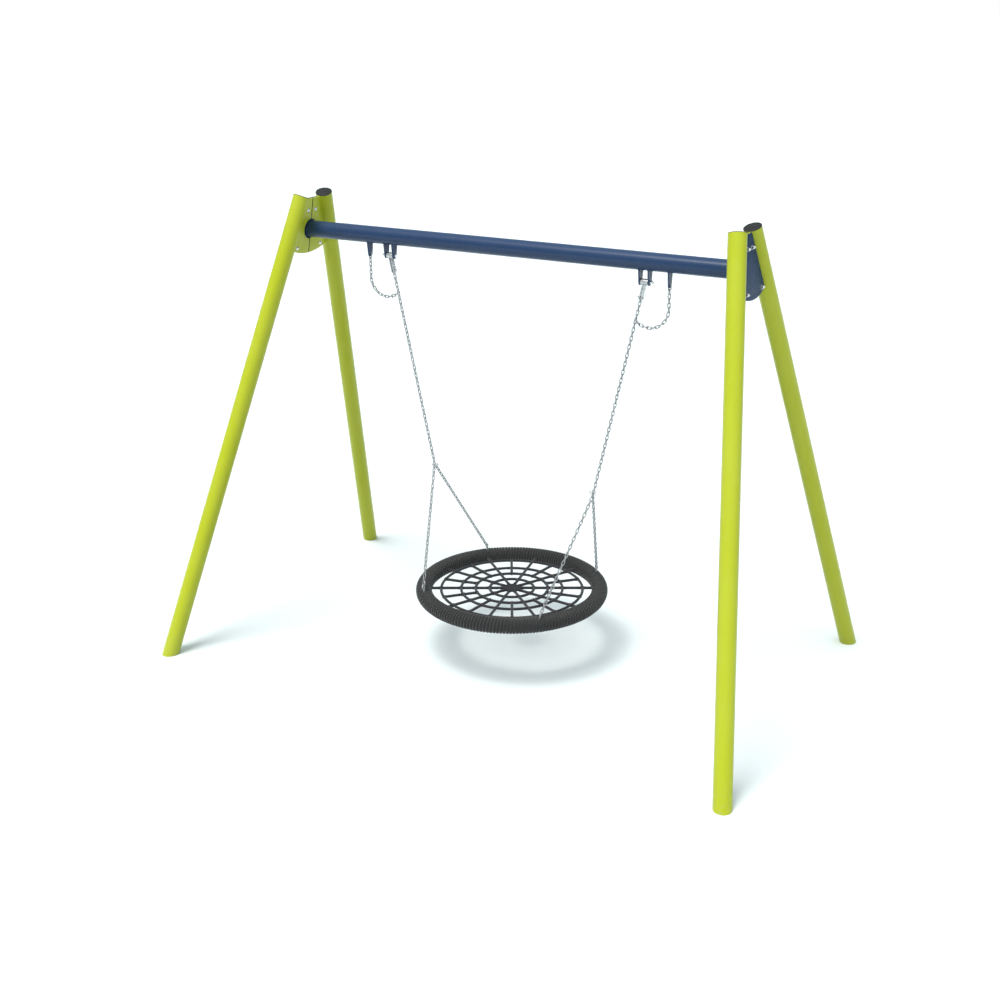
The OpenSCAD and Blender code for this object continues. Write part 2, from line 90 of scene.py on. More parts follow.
def new_material(name, colour, roughness, metallic=0.0, **more):
    """A material with a Principled shader, and the shader and the node tree to work on."""
    material = bpy.data.materials.new(name)
    material.use_nodes = True
    material.diffuse_color = (*colour, 1.0)
    tree = material.node_tree
    shader = tree.nodes["Principled BSDF"]
    shader.inputs["Base Color"].default_value = (*colour, 1.0)
    shader.inputs["Roughness"].default_value = roughness
    shader.inputs["Metallic"].default_value = metallic
    for socket, value in more.items():
        shader.inputs[socket.replace("_", " ")].default_value = value
    return material, tree, shader


floor_half = 150.0
floor_drop = 0.0005
floor_white = (0.83, 0.90, 0.92)
floor_bounce = (0.46, 0.48, 0.50)
floor_mesh = bpy.data.meshes.new("floor")
floor_mesh.from_pydata(
    [(x, y, 0.0) for x, y in ((-1, -1), (1, -1), (1, 1), (-1, 1))], [], [(0, 1, 2, 3)]
)
floor_mesh.transform(Matrix.Scale(floor_half, 4))
floor_mesh.transform(Matrix.Translation((0.0, 0.0, -floor_drop)))
floor = bpy.data.objects.new("floor", floor_mesh)
bpy.context.scene.collection.objects.link(floor)
floor_finish, floor_tree, floor_shader = new_material("floor", floor_white, 0.9)
floor_shader.inputs["Specular IOR Level"].default_value = 0.0
floor_seen = add_node(floor_tree, "ShaderNodeMix", data_type="RGBA")
floor_seen.inputs[6].default_value = (*floor_white, 1.0)
floor_seen.inputs[7].default_value = (*floor_bounce, 1.0)
floor_path = add_node(floor_tree, "ShaderNodeLightPath")
floor_tree.links.new(floor_path.outputs["Is Diffuse Ray"], floor_seen.inputs[0])
floor_tree.links.new(floor_seen.outputs[2], floor_shader.inputs["Base Color"])
floor_mesh.materials.append(floor_finish)

surround = bpy.data.worlds.new("surround")
bpy.context.scene.world = surround
surround.use_nodes = True
sky = surround.node_tree
sky_light = sky.nodes["Background"]
sky_light.inputs["Strength"].default_value = 0.66
sky_coords = add_node(sky, "ShaderNodeTexCoord")
sky_split = add_node(sky, "ShaderNodeSeparateXYZ")
sky_ramp = add_node(sky, "ShaderNodeValToRGB")
sky_ramp.color_ramp.elements[0].color = (0.42, 0.46, 0.50, 1.0)
sky_ramp.color_ramp.elements[1].color = (1.05, 1.14, 1.18, 1.0)
sky_ramp.color_ramp.elements.new(0.35).color = (0.58, 0.64, 0.68, 1.0)
sky.links.new(sky_coords.outputs["Generated"], sky_split.inputs[0])
sky.links.new(sky_split.outputs["Z"], sky_ramp.inputs["Fac"])
sky.links.new(sky_ramp.outputs["Color"], sky_light.inputs["Color"])
sky_seen = add_node(sky, "ShaderNodeBackground", {"Color": (1.0, 1.0, 1.0, 1.0), "Strength": 1.0})
sky_choice = add_node(sky, "ShaderNodeMixShader")
sky_path = add_node(sky, "ShaderNodeLightPath")
sky.links.new(sky_path.outputs["Is Camera Ray"], sky_choice.inputs[0])
sky.links.new(sky_light.outputs[0], sky_choice.inputs[1])
sky.links.new(sky_seen.outputs[0], sky_choice.inputs[2])
sky.links.new(sky_choice.outputs[0], sky.nodes["World Output"].inputs["Surface"])


def aimed(at, towards):
    """A place at one point whose own -Z looks at another."""
    way = Matrix.Translation(towards).translation - Matrix.Translation(at).translation
    return Matrix.Translation(at) @ way.to_track_quat("-Z", "Y").to_matrix().to_4x4()


def add_light(name, kind, place, power, colour, **settings):
    """A light of that kind, with its own settings."""
    data = bpy.data.lights.new(name, kind)
    data.energy = power
    data.color = colour
    for setting, value in settings.items():
        setattr(data, setting, value)
    lamp = bpy.data.objects.new(name, data)
    bpy.context.scene.collection.objects.link(lamp)
    lamp.matrix_world = place


add_light(
    "key", "SUN", aimed((-0.8, -2.7, 6.5), (0.0, 0.0, 0.0)), 2.75, (1.0, 0.965, 0.920),
    angle=radians(28.0),
)
add_light(
    "side_panel", "AREA", aimed((7.5, -2.0, 4.0), (0.0, 0.0, 1.3)), 22.0, (0.93, 0.97, 1.0),
    shape="RECTANGLE", size=2.5, size_y=6.0,
)

# ---------------------------------------------------------------------------
# Legs. Four steel tubes of 101.6 mm, cut square at the top and level at the ground,
# blasted and powder-coated in lime green. They stay as the frame has them.
# ---------------------------------------------------------------------------
leg_r = 0.0508
leg_wall = 0.0036
foot_x, foot_y = 1.845, 1.117
top_x, top_y = 1.395, 0.114
leg_top_z = 2.753
lime = (0.550, 0.630, 0.019)
lime_chalky = (0.595, 0.675, 0.058)


def new_skin(name, inputs):
    """A node group that puts out a skin's colour, roughness and height. Each input is a name
    with a colour or a number. Returns the group, the inputs to read and the outputs to fill."""
    group = bpy.data.node_groups.new(name, "ShaderNodeTree")
    for title, value in inputs.items():
        kind = "NodeSocketFloat" if isinstance(value, float) else "NodeSocketColor"
        socket = group.interface.new_socket(title, in_out="INPUT", socket_type=kind)
        socket.default_value = value if isinstance(value, float) else (*value, 1.0)
    for title, kind in (("Colour", "Color"), ("Roughness", "Float"), ("Height", "Float")):
        group.interface.new_socket(title, in_out="OUTPUT", socket_type=f"NodeSocket{kind}")
    group_in = group.nodes.new("NodeGroupInput")
    group_out = group.nodes.new("NodeGroupOutput")
    return group, group_in.outputs, group_out.inputs


def mixed(tree, factor, a, b):
    """The colour between a and b at that factor; each is a socket or a plain colour."""
    mix = add_node(tree, "ShaderNodeMix", data_type="RGBA")
    for place, value in ((0, factor), (6, a), (7, b)):
        if isinstance(value, bpy.types.NodeSocket):
            tree.links.new(value, mix.inputs[place])
        else:
            mix.inputs[place].default_value = value
    return mix.outputs[2]


def computed(tree, operation, a, b=0.0, c=0.0):
    """The result of one Math node; each value is a socket or a number."""
    node = add_node(tree, "ShaderNodeMath", operation=operation)
    for place, value in enumerate((a, b, c)):
        if isinstance(value, bpy.types.NodeSocket):
            tree.links.new(value, node.inputs[place])
        else:
            node.inputs[place].default_value = value
    return node.outputs[0]


def ranged(tree, value, low, high, to_low, to_high):
    """A value carried from one range into another, and held at its ends."""
    step = add_node(
        tree,
        "ShaderNodeMapRange",
        {"From Min": low, "From Max": high, "To Min": to_low, "To Max": to_high},
    )
    tree.links.new(value, step.inputs["Value"])
    return step.outputs["Result"]


def clouds(tree, vector, scale, detail=2.0, rough=0.5):
    """The grey of a noise texture at that scale."""
    noise = add_node(
        tree, "ShaderNodeTexNoise", {"Scale": scale, "Detail": detail, "Roughness": rough}
    )
    tree.links.new(vector, noise.inputs["Vector"])
    return noise.outputs["Fac"]


def stretched(tree, vector, scale):
    """Coordinates scaled by a different amount on each axis."""
    mapping = add_node(tree, "ShaderNodeMapping", {"Scale": scale})
    tree.links.new(vector, mapping.inputs["Vector"])
    return mapping.outputs["Vector"]


# Powder coat: an orange-peel skin, slow changes of tone, faint runs of rain down the metal
# and a little splashed dust near the ground
coat, coat_in, coat_out = new_skin(
    "powder coat",
    {"Paint": (0.5, 0.5, 0.5), "Chalky paint": (0.6, 0.6, 0.6), "Dust": (0.50, 0.47, 0.38)},
)
coat_place = add_node(coat, "ShaderNodeTexCoord").outputs["Object"]
coat_tone = ranged(coat, clouds(coat, coat_place, 2.2, 5.0, 0.6), 0.35, 0.68, 0.0, 0.55)
coat_runs = clouds(coat, stretched(coat, coat_place, (34.0, 34.0, 1.6)), 1.0, 3.0, 0.6)
coat_runs = ranged(coat, coat_runs, 0.52, 0.78, 0.0, 1.0)
coat_chalk = computed(coat, "MULTIPLY_ADD", coat_runs, 0.35, coat_tone)
coat_split = add_node(coat, "ShaderNodeSeparateXYZ")
coat.links.new(coat_place, coat_split.inputs[0])
coat_low = ranged(coat, coat_split.outputs["Z"], 0.0, 0.22, 1.0, 0.0)
coat_specks = ranged(coat, clouds(coat, coat_place, 55.0, 6.0, 0.7), 0.50, 0.68, 0.0, 1.0)
coat_splash = computed(coat, "MULTIPLY", computed(coat, "POWER", coat_low, 2.2), coat_specks)
coat_splash = computed(coat, "MULTIPLY", coat_splash, 0.42)
coat_colour = mixed(coat, coat_chalk, coat_in["Paint"], coat_in["Chalky paint"])
coat_colour = mixed(coat, coat_splash, coat_colour, coat_in["Dust"])
coat.links.new(coat_colour, coat_out["Colour"])
coat_sheen = ranged(coat, clouds(coat, coat_place, 26.0, 4.0, 0.6), 0.3, 0.7, 0.30, 0.40)
coat.links.new(computed(coat, "MULTIPLY_ADD", coat_splash, 0.5, coat_sheen), coat_out["Roughness"])
coat.links.new(clouds(coat, coat_place, 420.0, 2.0, 0.45), coat_out["Height"])


def add_skin(tree, shader, group, values, depth, strength, dulled=1.0):
    """A skin on a shader: its colour, its roughness times dulled, and its height, which is
    that depth in metres, through a Bump node into the normal."""
    values = {
        name: value if isinstance(value, float) else (*value, 1.0) for name, value in values.items()
    }
    skin = add_node(tree, "ShaderNodeGroup", values, node_tree=group)
    tree.links.new(skin.outputs["Colour"], shader.inputs["Base Color"])
    roughness = skin.outputs["Roughness"]
    if dulled != 1.0:
        roughness = computed(tree, "MULTIPLY", roughness, dulled)
    tree.links.new(roughness, shader.inputs["Roughness"])
    bump = add_node(tree, "ShaderNodeBump", {"Strength": strength, "Distance": depth})
    tree.links.new(skin.outputs["Height"], bump.inputs["Height"])
    tree.links.new(bump.outputs["Normal"], shader.inputs["Normal"])


def painted_steel(name, paint, chalky, gloss=0.32, flow=0.14):
    """Steel under a powder coat of that colour: gloss is its shine, flow its smooth top skin."""
    material, tree, shader = new_material(name, paint, 0.34, Coat_Roughness=0.22)
    shader.inputs["Specular IOR Level"].default_value = gloss
    shader.inputs["Coat Weight"].default_value = flow
    add_skin(tree, shader, coat, {"Paint": paint, "Chalky paint": chalky}, 0.00012, 0.35)
    return material


def dress(names, material):
    """Frame nodes that stay as they are get this material."""
    for name in names:
        slots = nodes[name].data.materials
        slots.clear()
        slots.append(material)


sides = (("left", -1), ("right", 1))
ends = (("front", -1), ("rear", 1))
corners = [(f"{side}_{end}", s, f) for side, s in sides for end, f in ends]
lime_steel = painted_steel("lime_steel", lime, lime_chalky)
dress([f"leg_{corner}" for corner, s, f in corners], lime_steel)

# ---------------------------------------------------------------------------
# Leg caps. Four injection-moulded discs of dark grey polyamide, pushed into the tube tops
# by a skirt. Each has a rounded edge, a shallow groove and the stub of its sprue.
# ---------------------------------------------------------------------------
cap_edge_r, cap_seat_r = 0.0009, 0.0004
cap_t = 0.003
cap_steps = 72
skirt_l, skirt_t, skirt_play = 0.015, 0.003, 0.0004
taper_l, taper_d = 0.003, 0.0008
pole_r = 0.0004           # of the small flat face that closes the middle of a turned one


def unit(v):
    """The vector or the array of vectors at length 1."""
    v = np.asarray(v, float)
    return v / np.linalg.norm(v, axis=-1, keepdims=True)


def axes(origin, x, y, z):
    """A place with three directions, as a 4x4 array."""
    place = np.eye(4)
    place[:3, 0], place[:3, 1], place[:3, 2], place[:3, 3] = x, y, z, origin
    return place


def placed(points, place):
    """Points from a place's own directions into the frame's."""
    return np.asarray(points) @ place[:3, :3].T + place[:3, 3]


def volume_of(points, looped):
    """Signed volume between a grid and the middle of its points: the sum over its
    triangles of the product a . (b x c), over 6. Negative means that it is inside out."""
    p = points - points.reshape(-1, 3).mean(axis=0)
    a = p if looped else p[:-1]
    b = np.roll(p, -1, axis=0) if looped else p[1:]
    a_next, b_next = np.roll(a, -1, axis=1), np.roll(b, -1, axis=1)
    first = np.einsum("...i,...i", a, np.cross(a_next, b_next))
    second = np.einsum("...i,...i", a, np.cross(b_next, b))
    return (first.sum() + second.sum()) / 6.0


def faces_of(points, looped, u, start):
    """The faces of one grid whose first vertex has that number: quads of vertex numbers, the
    UV of their corners, and the flat faces that close both ends where it isn't looped."""
    rows, steps = points.shape[:2]
    i = np.arange(rows if looped else rows - 1)[:, None]
    j = np.arange(steps)[None, :]
    if len(u) == rows:
        u = np.append(u, 2 * u[-1] - u[-2])
    way_round = [(0, 0), (0, 1), (1, 1), (1, 0)]
    lids = [start + np.arange(steps)[::-1], start + (rows - 1) * steps + np.arange(steps)]
    if volume_of(points, looped) < 0.0:
        way_round = way_round[::-1]
        lids = [lid[::-1] for lid in lids]
    quads = [start + (i + di) % rows * steps + (j + dj) % steps for di, dj in way_round]
    uvs = [np.stack(np.broadcast_arrays(u[i + di], (j + dj) / steps), -1) for di, dj in way_round]
    return (
        np.stack(quads, -1).reshape(-1, 4), np.stack(uvs, -2).reshape(-1, 2), [] if looped else lids
    )


def add_piece(name, grids, material, body, stands_for=(), sharp=40.0):
    """One mesh of closed surfaces. Each grid is a dict: points[i, j] is the surface at step i
    along it and step j round it; looped says that the last step along joins the first, and
    otherwise the first and the last ring are closed by flat faces; u is the distance along at
    each step, for the UV map, where v runs once round; crown is a value for each point."""
    coords, quads, uvs, crowns, lids = [], [], [], [], []
    start = 0
    for grid in grids:
        points = np.asarray(grid["points"], float)
        rows, steps = points.shape[:2]
        u = np.asarray(grid.get("u", np.arange(rows + 1)), float)
        made = faces_of(points, grid.get("looped", False), u, start)
        quads.append(made[0])
        uvs.append(made[1])
        lids += made[2]
        coords.append(points.reshape(-1, 3))
        crowns.append(np.ravel(grid.get("crown", np.ones((rows, steps)))))
        start += rows * steps
    quads = np.concatenate(quads)
    corner_ids = np.concatenate([quads.ravel()] + lids)
    sizes = np.concatenate([np.full(len(quads), 4), [len(lid) for lid in lids]])
    starts = np.concatenate([[0], np.cumsum(sizes)[:-1]])
    coords = np.concatenate(coords)
    mesh = bpy.data.meshes.new(name)
    mesh.vertices.add(len(coords))
    mesh.vertices.foreach_set("co", coords.astype(np.float32).ravel())
    mesh.loops.add(len(corner_ids))
    mesh.polygons.add(len(starts))
    mesh.polygons.foreach_set("loop_start", starts.astype(np.int32))
    mesh.polygons.foreach_set("vertices", corner_ids.astype(np.int32))
    mesh.update(calc_edges=True)
    uv = np.zeros((len(corner_ids), 2), np.float32)
    uv[: len(quads) * 4] = np.concatenate(uvs)
    mesh.uv_layers.new(name="UVMap").data.foreach_set("uv", uv.ravel())
    shade = mesh.attributes.new("crown", "FLOAT", "POINT")
    shade.data.foreach_set("value", np.concatenate(crowns).astype(np.float32))
    mesh.validate()
    mesh.polygons.foreach_set("use_smooth", np.ones(len(mesh.polygons), bool))
    mesh.set_sharp_from_angle(angle=radians(sharp))
    mesh.materials.append(material)
    piece = bpy.data.objects.new(name, mesh)
    bpy.context.scene.collection.objects.link(piece)
    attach(piece, body)
    if stands_for:
        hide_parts(*stands_for)


def turned(profile, place, steps):
    """A turned shape: each (radius, height) of the profile is carried once round the place's
    third direction, as radius * (cos a, sin a), height."""
    profile = np.asarray(profile, float)
    a = np.arange(steps) * 2 * pi / steps
    ring = np.stack([np.cos(a), np.sin(a)], -1)
    points = np.zeros((len(profile), steps, 3))
    points[..., :2] = profile[:, None, :1] * ring
    points[..., 2] = profile[:, None, 1]
    return placed(points, place)


def rounded(centre, radius, start, stop, steps=5):
    """Points on an arc about a centre, from one angle to another, in degrees."""
    a = np.radians(np.linspace(start, stop, steps))
    return np.stack([centre[0] + radius * np.cos(a), centre[1] + radius * np.sin(a)], -1)


def leg_place(s, f):
    """The top of a leg: the third direction runs up its axis, the first along the beam."""
    top = np.array([s * top_x, f * top_y, leg_top_z])
    up = unit(top - np.array([s * foot_x, f * foot_y, 0.0]))
    x = unit(np.array([s, 0.0, 0.0]) - s * up[0] * up)
    return axes(top, x, np.cross(up, x), up)


# Moulded plastic: a fine eroded grain, slightly uneven in tone
grain, grain_in, grain_out = new_skin(
    "moulded grain", {"Plastic": (0.1, 0.1, 0.1), "Faded": (0.2, 0.2, 0.2), "Grain scale": 900.0}
)
grain_place = add_node(grain, "ShaderNodeTexCoord").outputs["Object"]
grain_fade = ranged(grain, clouds(grain, grain_place, 38.0, 6.0, 0.65), 0.38, 0.70, 0.0, 0.8)
grain.links.new(mixed(grain, grain_fade, grain_in["Plastic"], grain_in["Faded"]), grain_out["Colour"])
grain.links.new(ranged(grain, grain_fade, 0.0, 0.8, 0.46, 0.62), grain_out["Roughness"])
grain_noise = add_node(grain, "ShaderNodeTexNoise", {"Detail": 3.0})
grain.links.new(grain_place, grain_noise.inputs["Vector"])
grain.links.new(grain_in["Grain scale"], grain_noise.inputs["Scale"])
grain.links.new(grain_noise.outputs["Fac"], grain_out["Height"])


def moulded(name, plastic, faded, grain_scale, depth, gloss=0.5):
    """A moulded plastic or rubber of that colour, with grain of that depth in metres."""
    material, tree, shader = new_material(name, plastic, 0.5)
    shader.inputs["Specular IOR Level"].default_value = gloss
    values = {"Plastic": plastic, "Faded": faded, "Grain scale": grain_scale}
    add_skin(tree, shader, grain, values, depth, 0.5)
    return material


cap_polyamide = moulded(
    "cap_polyamide", (0.0250, 0.0265, 0.0270), (0.0380, 0.0395, 0.0385), 1100.0, 0.0002, 0.16
)
groove_r, groove_w, groove_d = 0.0395, 0.0012, 0.0005
sprue_r, sprue_h, sprue_edge = 0.0032, 0.0004, 0.0003
skirt_r = leg_r - leg_wall - skirt_play
cap_profile = np.concatenate(
    [
        [(pole_r, cap_t + sprue_h), (sprue_r - sprue_edge, cap_t + sprue_h)],
        [(sprue_r, cap_t + 0.0001), (sprue_r + sprue_edge, cap_t)],
        [(groove_r - groove_w, cap_t), (groove_r - groove_w / 2, cap_t - groove_d)],
        [(groove_r + groove_w / 2, cap_t - groove_d), (groove_r + groove_w, cap_t)],
        rounded((leg_r - cap_edge_r, cap_t - cap_edge_r), cap_edge_r, 90.0, 0.0),
        rounded((leg_r - cap_seat_r, cap_seat_r), cap_seat_r, 0.0, -90.0, 3),
        [(skirt_r, 0.0), (skirt_r, taper_l - skirt_l), (skirt_r - taper_d, -skirt_l)],
        [(skirt_r - skirt_t, -skirt_l), (skirt_r - skirt_t, -0.0002), (pole_r, -0.0002)],
    ]
)
for corner, s, f in corners:
    cap = {"points": turned(cap_profile, leg_place(s, f), cap_steps)}
    add_piece(f"leg_cap_{corner}", [cap], cap_polyamide, "frame", (f"cap_{corner}",))

# ---------------------------------------------------------------------------
# Half plates. One 8 mm steel plate is welded to each leg along the tube, on both faces, and
# coated with it. The two of an A-frame meet on a seam and leave a ring of air round the beam.
# ---------------------------------------------------------------------------
beam_lo, beam_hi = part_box("beam_tube")
beam_z = (beam_lo[2] + beam_hi[2]) / 2
beam_r = 0.0508
splay = atan2(foot_x - top_x, leg_top_z)
frame_x = top_x + (leg_top_z - beam_z) * tan(splay)
plane_top = (leg_top_z - beam_z) / cos(splay)
plane_foot = -beam_z / cos(splay)
leg_lean = atan2(foot_y - top_y, plane_top - plane_foot)
gusset_t = 0.008
end_plate_t = 0.010
plate_up, plate_down, plate_arc_r = 0.193, 0.152, 0.440
notch_r = beam_r + 0.011
weld_gap = 0.0001
end_plate_gap = 0.004
seam_half = 0.0024
plate_edge_r = 0.0010


def plane_place(s):
    """The middle of an A-frame at the beam: the first direction is the plane's normal and
    points outwards, the third runs up the plane."""
    normal = np.array([s * cos(splay), 0.0, sin(splay)])
    up = np.array([-s * sin(splay), 0.0, cos(splay)])
    return axes(np.array([s * frame_x, 0.0, beam_z]), normal, np.array([0.0, 1.0, 0.0]), up)


def inset(outline, by):
    """A closed outline moved inwards by that distance, along the mean of its edges' normals."""
    after = unit(np.roll(outline, -1, axis=0) - outline)
    before = np.roll(after, 1, axis=0)
    turn = np.stack([-(after + before)[:, 1], (after + before)[:, 0]], -1)
    mean = unit(turn)
    normal = np.stack([-after[:, 1], after[:, 0]], -1)
    reach = np.clip(np.einsum("ij,ij->i", mean, normal), 0.35, 1.0)
    (y, z), (y_next, z_next) = outline.T, np.roll(outline, -1, axis=0).T
    area = np.sum(y * z_next - y_next * z)
    return outline + np.sign(area) * by * mean / reach[:, None]


def plate(outline, x0, thickness, place, edge_r=plate_edge_r, steps=4):
    """A flat plate: its outline in the second and third directions is carried round a
    profile that turns both edges with a radius, and both faces are closed flat."""
    a = np.radians(np.linspace(90.0, 0.0, steps))
    ins = np.concatenate([edge_r * (1 - np.cos(a)), (edge_r * (1 - np.cos(a)))[::-1]])
    low = edge_r * (1 - np.sin(a))
    across = np.concatenate([low, thickness - low[::-1]])
    points = np.zeros((len(ins), len(outline), 3))
    for row, (by, x) in enumerate(zip(ins, across)):
        points[row, :, 1:] = inset(outline, by)
        points[row, :, 0] = x0 + x
    return placed(points, place)


def plate_sides(gap):
    """Half widths of the plates at their top and at their lowest level, a gap off the legs."""
    edge = (leg_r + gap) / cos(leg_lean)
    return (
        top_y + (plane_top - plate_up) * tan(leg_lean) - edge,
        top_y + (plane_top + plate_down) * tan(leg_lean) - edge,
    )


def side_meets_arc(gap):
    """Where a plate's side meets its curved lower edge: the line up_w + k t against the circle
    of plate_arc_r about (0, plate_arc_r - plate_down)."""
    up_w, down_w = plate_sides(gap)
    slope = (down_w - up_w) / (plate_up + plate_down)
    middle = plate_arc_r - plate_down
    a = slope**2 + 1
    b = -2 * slope * (up_w + slope * plate_up) - 2 * middle
    c = (up_w + slope * plate_up) ** 2 + middle**2 - plate_arc_r**2
    z = (-b - (b * b - 4 * a * c) ** 0.5) / (2 * a)
    return up_w + slope * (plate_up - z), z


def lower_arc(y_from, y_to, steps):
    """Points on the plates' curved lower edge."""
    y = np.linspace(y_from, y_to, steps)
    return np.stack([y, plate_arc_r - plate_down - np.sqrt(plate_arc_r**2 - y**2)], -1)


corner_y, corner_z = side_meets_arc(weld_gap)
up_w = plate_sides(weld_gap)[0]
seam_a = degrees(asin(seam_half / notch_r))
half_outline = np.concatenate(
    [
        lower_arc(seam_half, corner_y, 16),
        [(up_w, plate_up), (seam_half, plate_up)],
        rounded((0.0, 0.0), notch_r, 90.0 - seam_a, -90.0 + seam_a, 30),
    ]
)


def along_path(path, out, looped):
    """At each point of a path: its distance s from the start, its way out, which is made
    square to the path, and the way to the side, square to both."""
    ahead = np.roll(path, -1, axis=0) - path
    behind = path - np.roll(path, 1, axis=0)
    if not looped:
        ahead[-1], behind[0] = behind[-1], ahead[0]
    along = unit(ahead + behind)
    s = np.concatenate([[0.0], np.cumsum(np.linalg.norm(np.diff(path, axis=0), axis=1))])
    out = unit(out - np.einsum("ij,ij->i", out, along)[:, None] * along)
    return s, out, np.cross(along, out)


def bead(path, out, radius, closed=False, ripple=0.0035, steps=8):
    """A weld bead: a round profile carried along a path, whose radius swells by an eighth
    with every ripple, as |sin(pi s / ripple)|, and shrinks at open ends."""
    s, out, side = along_path(path, out, closed)
    swell = radius * (0.92 + 0.13 * np.abs(np.sin(pi * s / ripple)))
    if not closed:
        from_end = np.minimum(s, s[-1] - s)
        swell = swell * np.sqrt(np.clip(from_end / (2 * radius), 0.08, 1.0))
    a = np.arange(steps) * 2 * pi / steps
    ring = np.cos(a)[None, :, None] * out[:, None] + np.sin(a)[None, :, None] * side[:, None]
    return {"points": path[:, None] + swell[:, None, None] * ring, "looped": closed, "u": s}


def line(a, b, step=0.0012):
    """Points along a straight line, a step apart."""
    a, b = np.asarray(a, float), np.asarray(b, float)
    return a + np.linspace(0.0, 1.0, max(2, int(np.linalg.norm(b - a) / step)))[:, None] * (b - a)


weld_r = 0.0032
weld_inset = 0.004
# Painted shade: the dark colour laid along the half plates' seam, for the shadow in the gap between
# them
seam_shade = (0.030, 0.034, 0.018)


def shaded_seam(material, shade_colour):
    """A copy of a painted finish with painted shade where the halves meet: within 5 mm of y = 0 its
    colour is darkened, standing in for the shadow in the gap between them.
    """
    shaded_copy = material.copy()
    shaded_copy.name = f"{material.name}_seam"
    tree = shaded_copy.node_tree
    shader = tree.nodes["Principled BSDF"]
    place = add_node(tree, "ShaderNodeSeparateXYZ")
    tree.links.new(add_node(tree, "ShaderNodeTexCoord").outputs["Object"], place.inputs[0])
    # Mask of the painted shade: full within 2.8 mm of the seam, gone by 5 mm
    near = ranged(tree, computed(tree, "ABSOLUTE", place.outputs["Y"]), 0.0028, 0.0050, 0.92, 0.0)
    paint = shader.inputs["Base Color"].links[0].from_socket
    tree.links.new(mixed(tree, near, paint, (*shade_colour, 1.0)), shader.inputs["Base Color"])
    return shaded_copy


# The half plates' finish, with painted shade along the seam
lime_seam = shaded_seam(lime_steel, seam_shade)
for corner, s, f in corners:
    here = plane_place(s)
    grids = [{"points": plate(half_outline * (f, 1), -gusset_t / 2, gusset_t, here)}]
    for x in (-gusset_t / 2, gusset_t / 2):
        low = (x, f * (corner_y - weld_inset), corner_z + 3 * weld_inset)
        seam = placed(line(low, (x, f * up_w, plate_up - weld_inset)), here)
        grids.append(bead(seam, np.tile(np.sign(x) * here[:3, 0], (len(seam), 1)), weld_r))
    add_piece(f"half_plate_{corner}", grids, lime_seam, "frame", (f"gusset_{corner}",))

# ---------------------------------------------------------------------------
# Beam. One steel tube of 101.6 mm with a 10 mm plate welded to each end on the lean of the
# A-frame, all powder-coated in dark blue, flatter on the plates. They bolt to the half plates.
# ---------------------------------------------------------------------------
dark_blue = (0.0165, 0.0480, 0.1300)
dark_blue_chalky = (0.0280, 0.0660, 0.1520)
end_weld_r, end_weld_rise = 0.0034, 0.0006
blue_steel = painted_steel("blue_steel", dark_blue, dark_blue_chalky)
matt_blue = painted_steel("matt_blue", dark_blue, dark_blue_chalky, 0.08, 0.0)
dress(["beam_tube"], blue_steel)

end_y = side_meets_arc(end_plate_gap)[0]
end_up_w = plate_sides(end_plate_gap)[0]
end_outline = np.concatenate(
    [lower_arc(-end_y, end_y, 40), [(end_up_w, plate_up), (-end_up_w, plate_up)]]
)
for side, s in sides:
    here = plane_place(s)
    a = np.linspace(0.0, 2 * pi, 280, endpoint=False)
    level = np.stack([np.cos(a), np.sin(a)], -1) * (beam_r + end_weld_rise)
    from_plane = gusset_t / 2 - level[:, 1] * sin(splay)
    ring = np.stack([s * (frame_x + from_plane / cos(splay)), level[:, 0], beam_z + level[:, 1]], -1)
    out = np.stack([-s * 0.6 * np.ones_like(a), np.cos(a), np.sin(a)], -1)
    grids = [
        {"points": plate(end_outline, gusset_t / 2, end_plate_t, here)},
        bead(ring, out, end_weld_r, closed=True),
    ]
    add_piece(f"end_plate_{side}", grids, matt_blue, "frame", (f"beam_end_plate_{side}",))

# ---------------------------------------------------------------------------
# Plate bolts. Eight M12 mushroom-head bolts with their heads inside, each with a washer and a
# hexagon nut outside and a few turns of free thread. Forged, rolled and galvanised.
# ---------------------------------------------------------------------------
zinc_light = (0.860, 0.870, 0.880)
zinc_dark = (0.600, 0.612, 0.628)
bolt_r = 0.006
bolt_pitch = 0.00175
bolt_spots = ((0.036, 0.118), (0.118, -0.108))
head_r, head_h, head_edge = 0.013, 0.007, 0.0005
washer_t = 0.0025
nut_af, nut_h = 0.019, 0.010
thread_free, thread_hidden = 0.008, 0.004
thread_play = 0.0001
shank_bury = 0.001
centre_r = 0.0006         # the same on bolts and rivets

# Galvanised steel: flowers of zinc crystals, each with its own tone and gloss, under a skin
# of fine handling scratches
zinc, zinc_in, zinc_out = new_skin(
    "zinc flowers", {"Light": (0.7, 0.7, 0.7), "Dark": (0.5, 0.5, 0.5), "Flower scale": 260.0}
)
zinc_place = add_node(zinc, "ShaderNodeTexCoord").outputs["Object"]
zinc_cells = add_node(zinc, "ShaderNodeTexVoronoi")
zinc.links.new(zinc_place, zinc_cells.inputs["Vector"])
zinc.links.new(zinc_in["Flower scale"], zinc_cells.inputs["Scale"])
zinc_tone = add_node(zinc, "ShaderNodeSeparateColor")
zinc.links.new(zinc_cells.outputs["Color"], zinc_tone.inputs[0])
zinc_grime = ranged(zinc, clouds(zinc, zinc_place, 70.0, 5.0, 0.65), 0.42, 0.70, 0.0, 0.55)
zinc_mix = computed(zinc, "MULTIPLY_ADD", zinc_tone.outputs[0], 0.55, zinc_grime)
zinc.links.new(mixed(zinc, zinc_mix, zinc_in["Light"], zinc_in["Dark"]), zinc_out["Colour"])
zinc.links.new(ranged(zinc, zinc_mix, 0.0, 1.0, 0.30, 0.50), zinc_out["Roughness"])
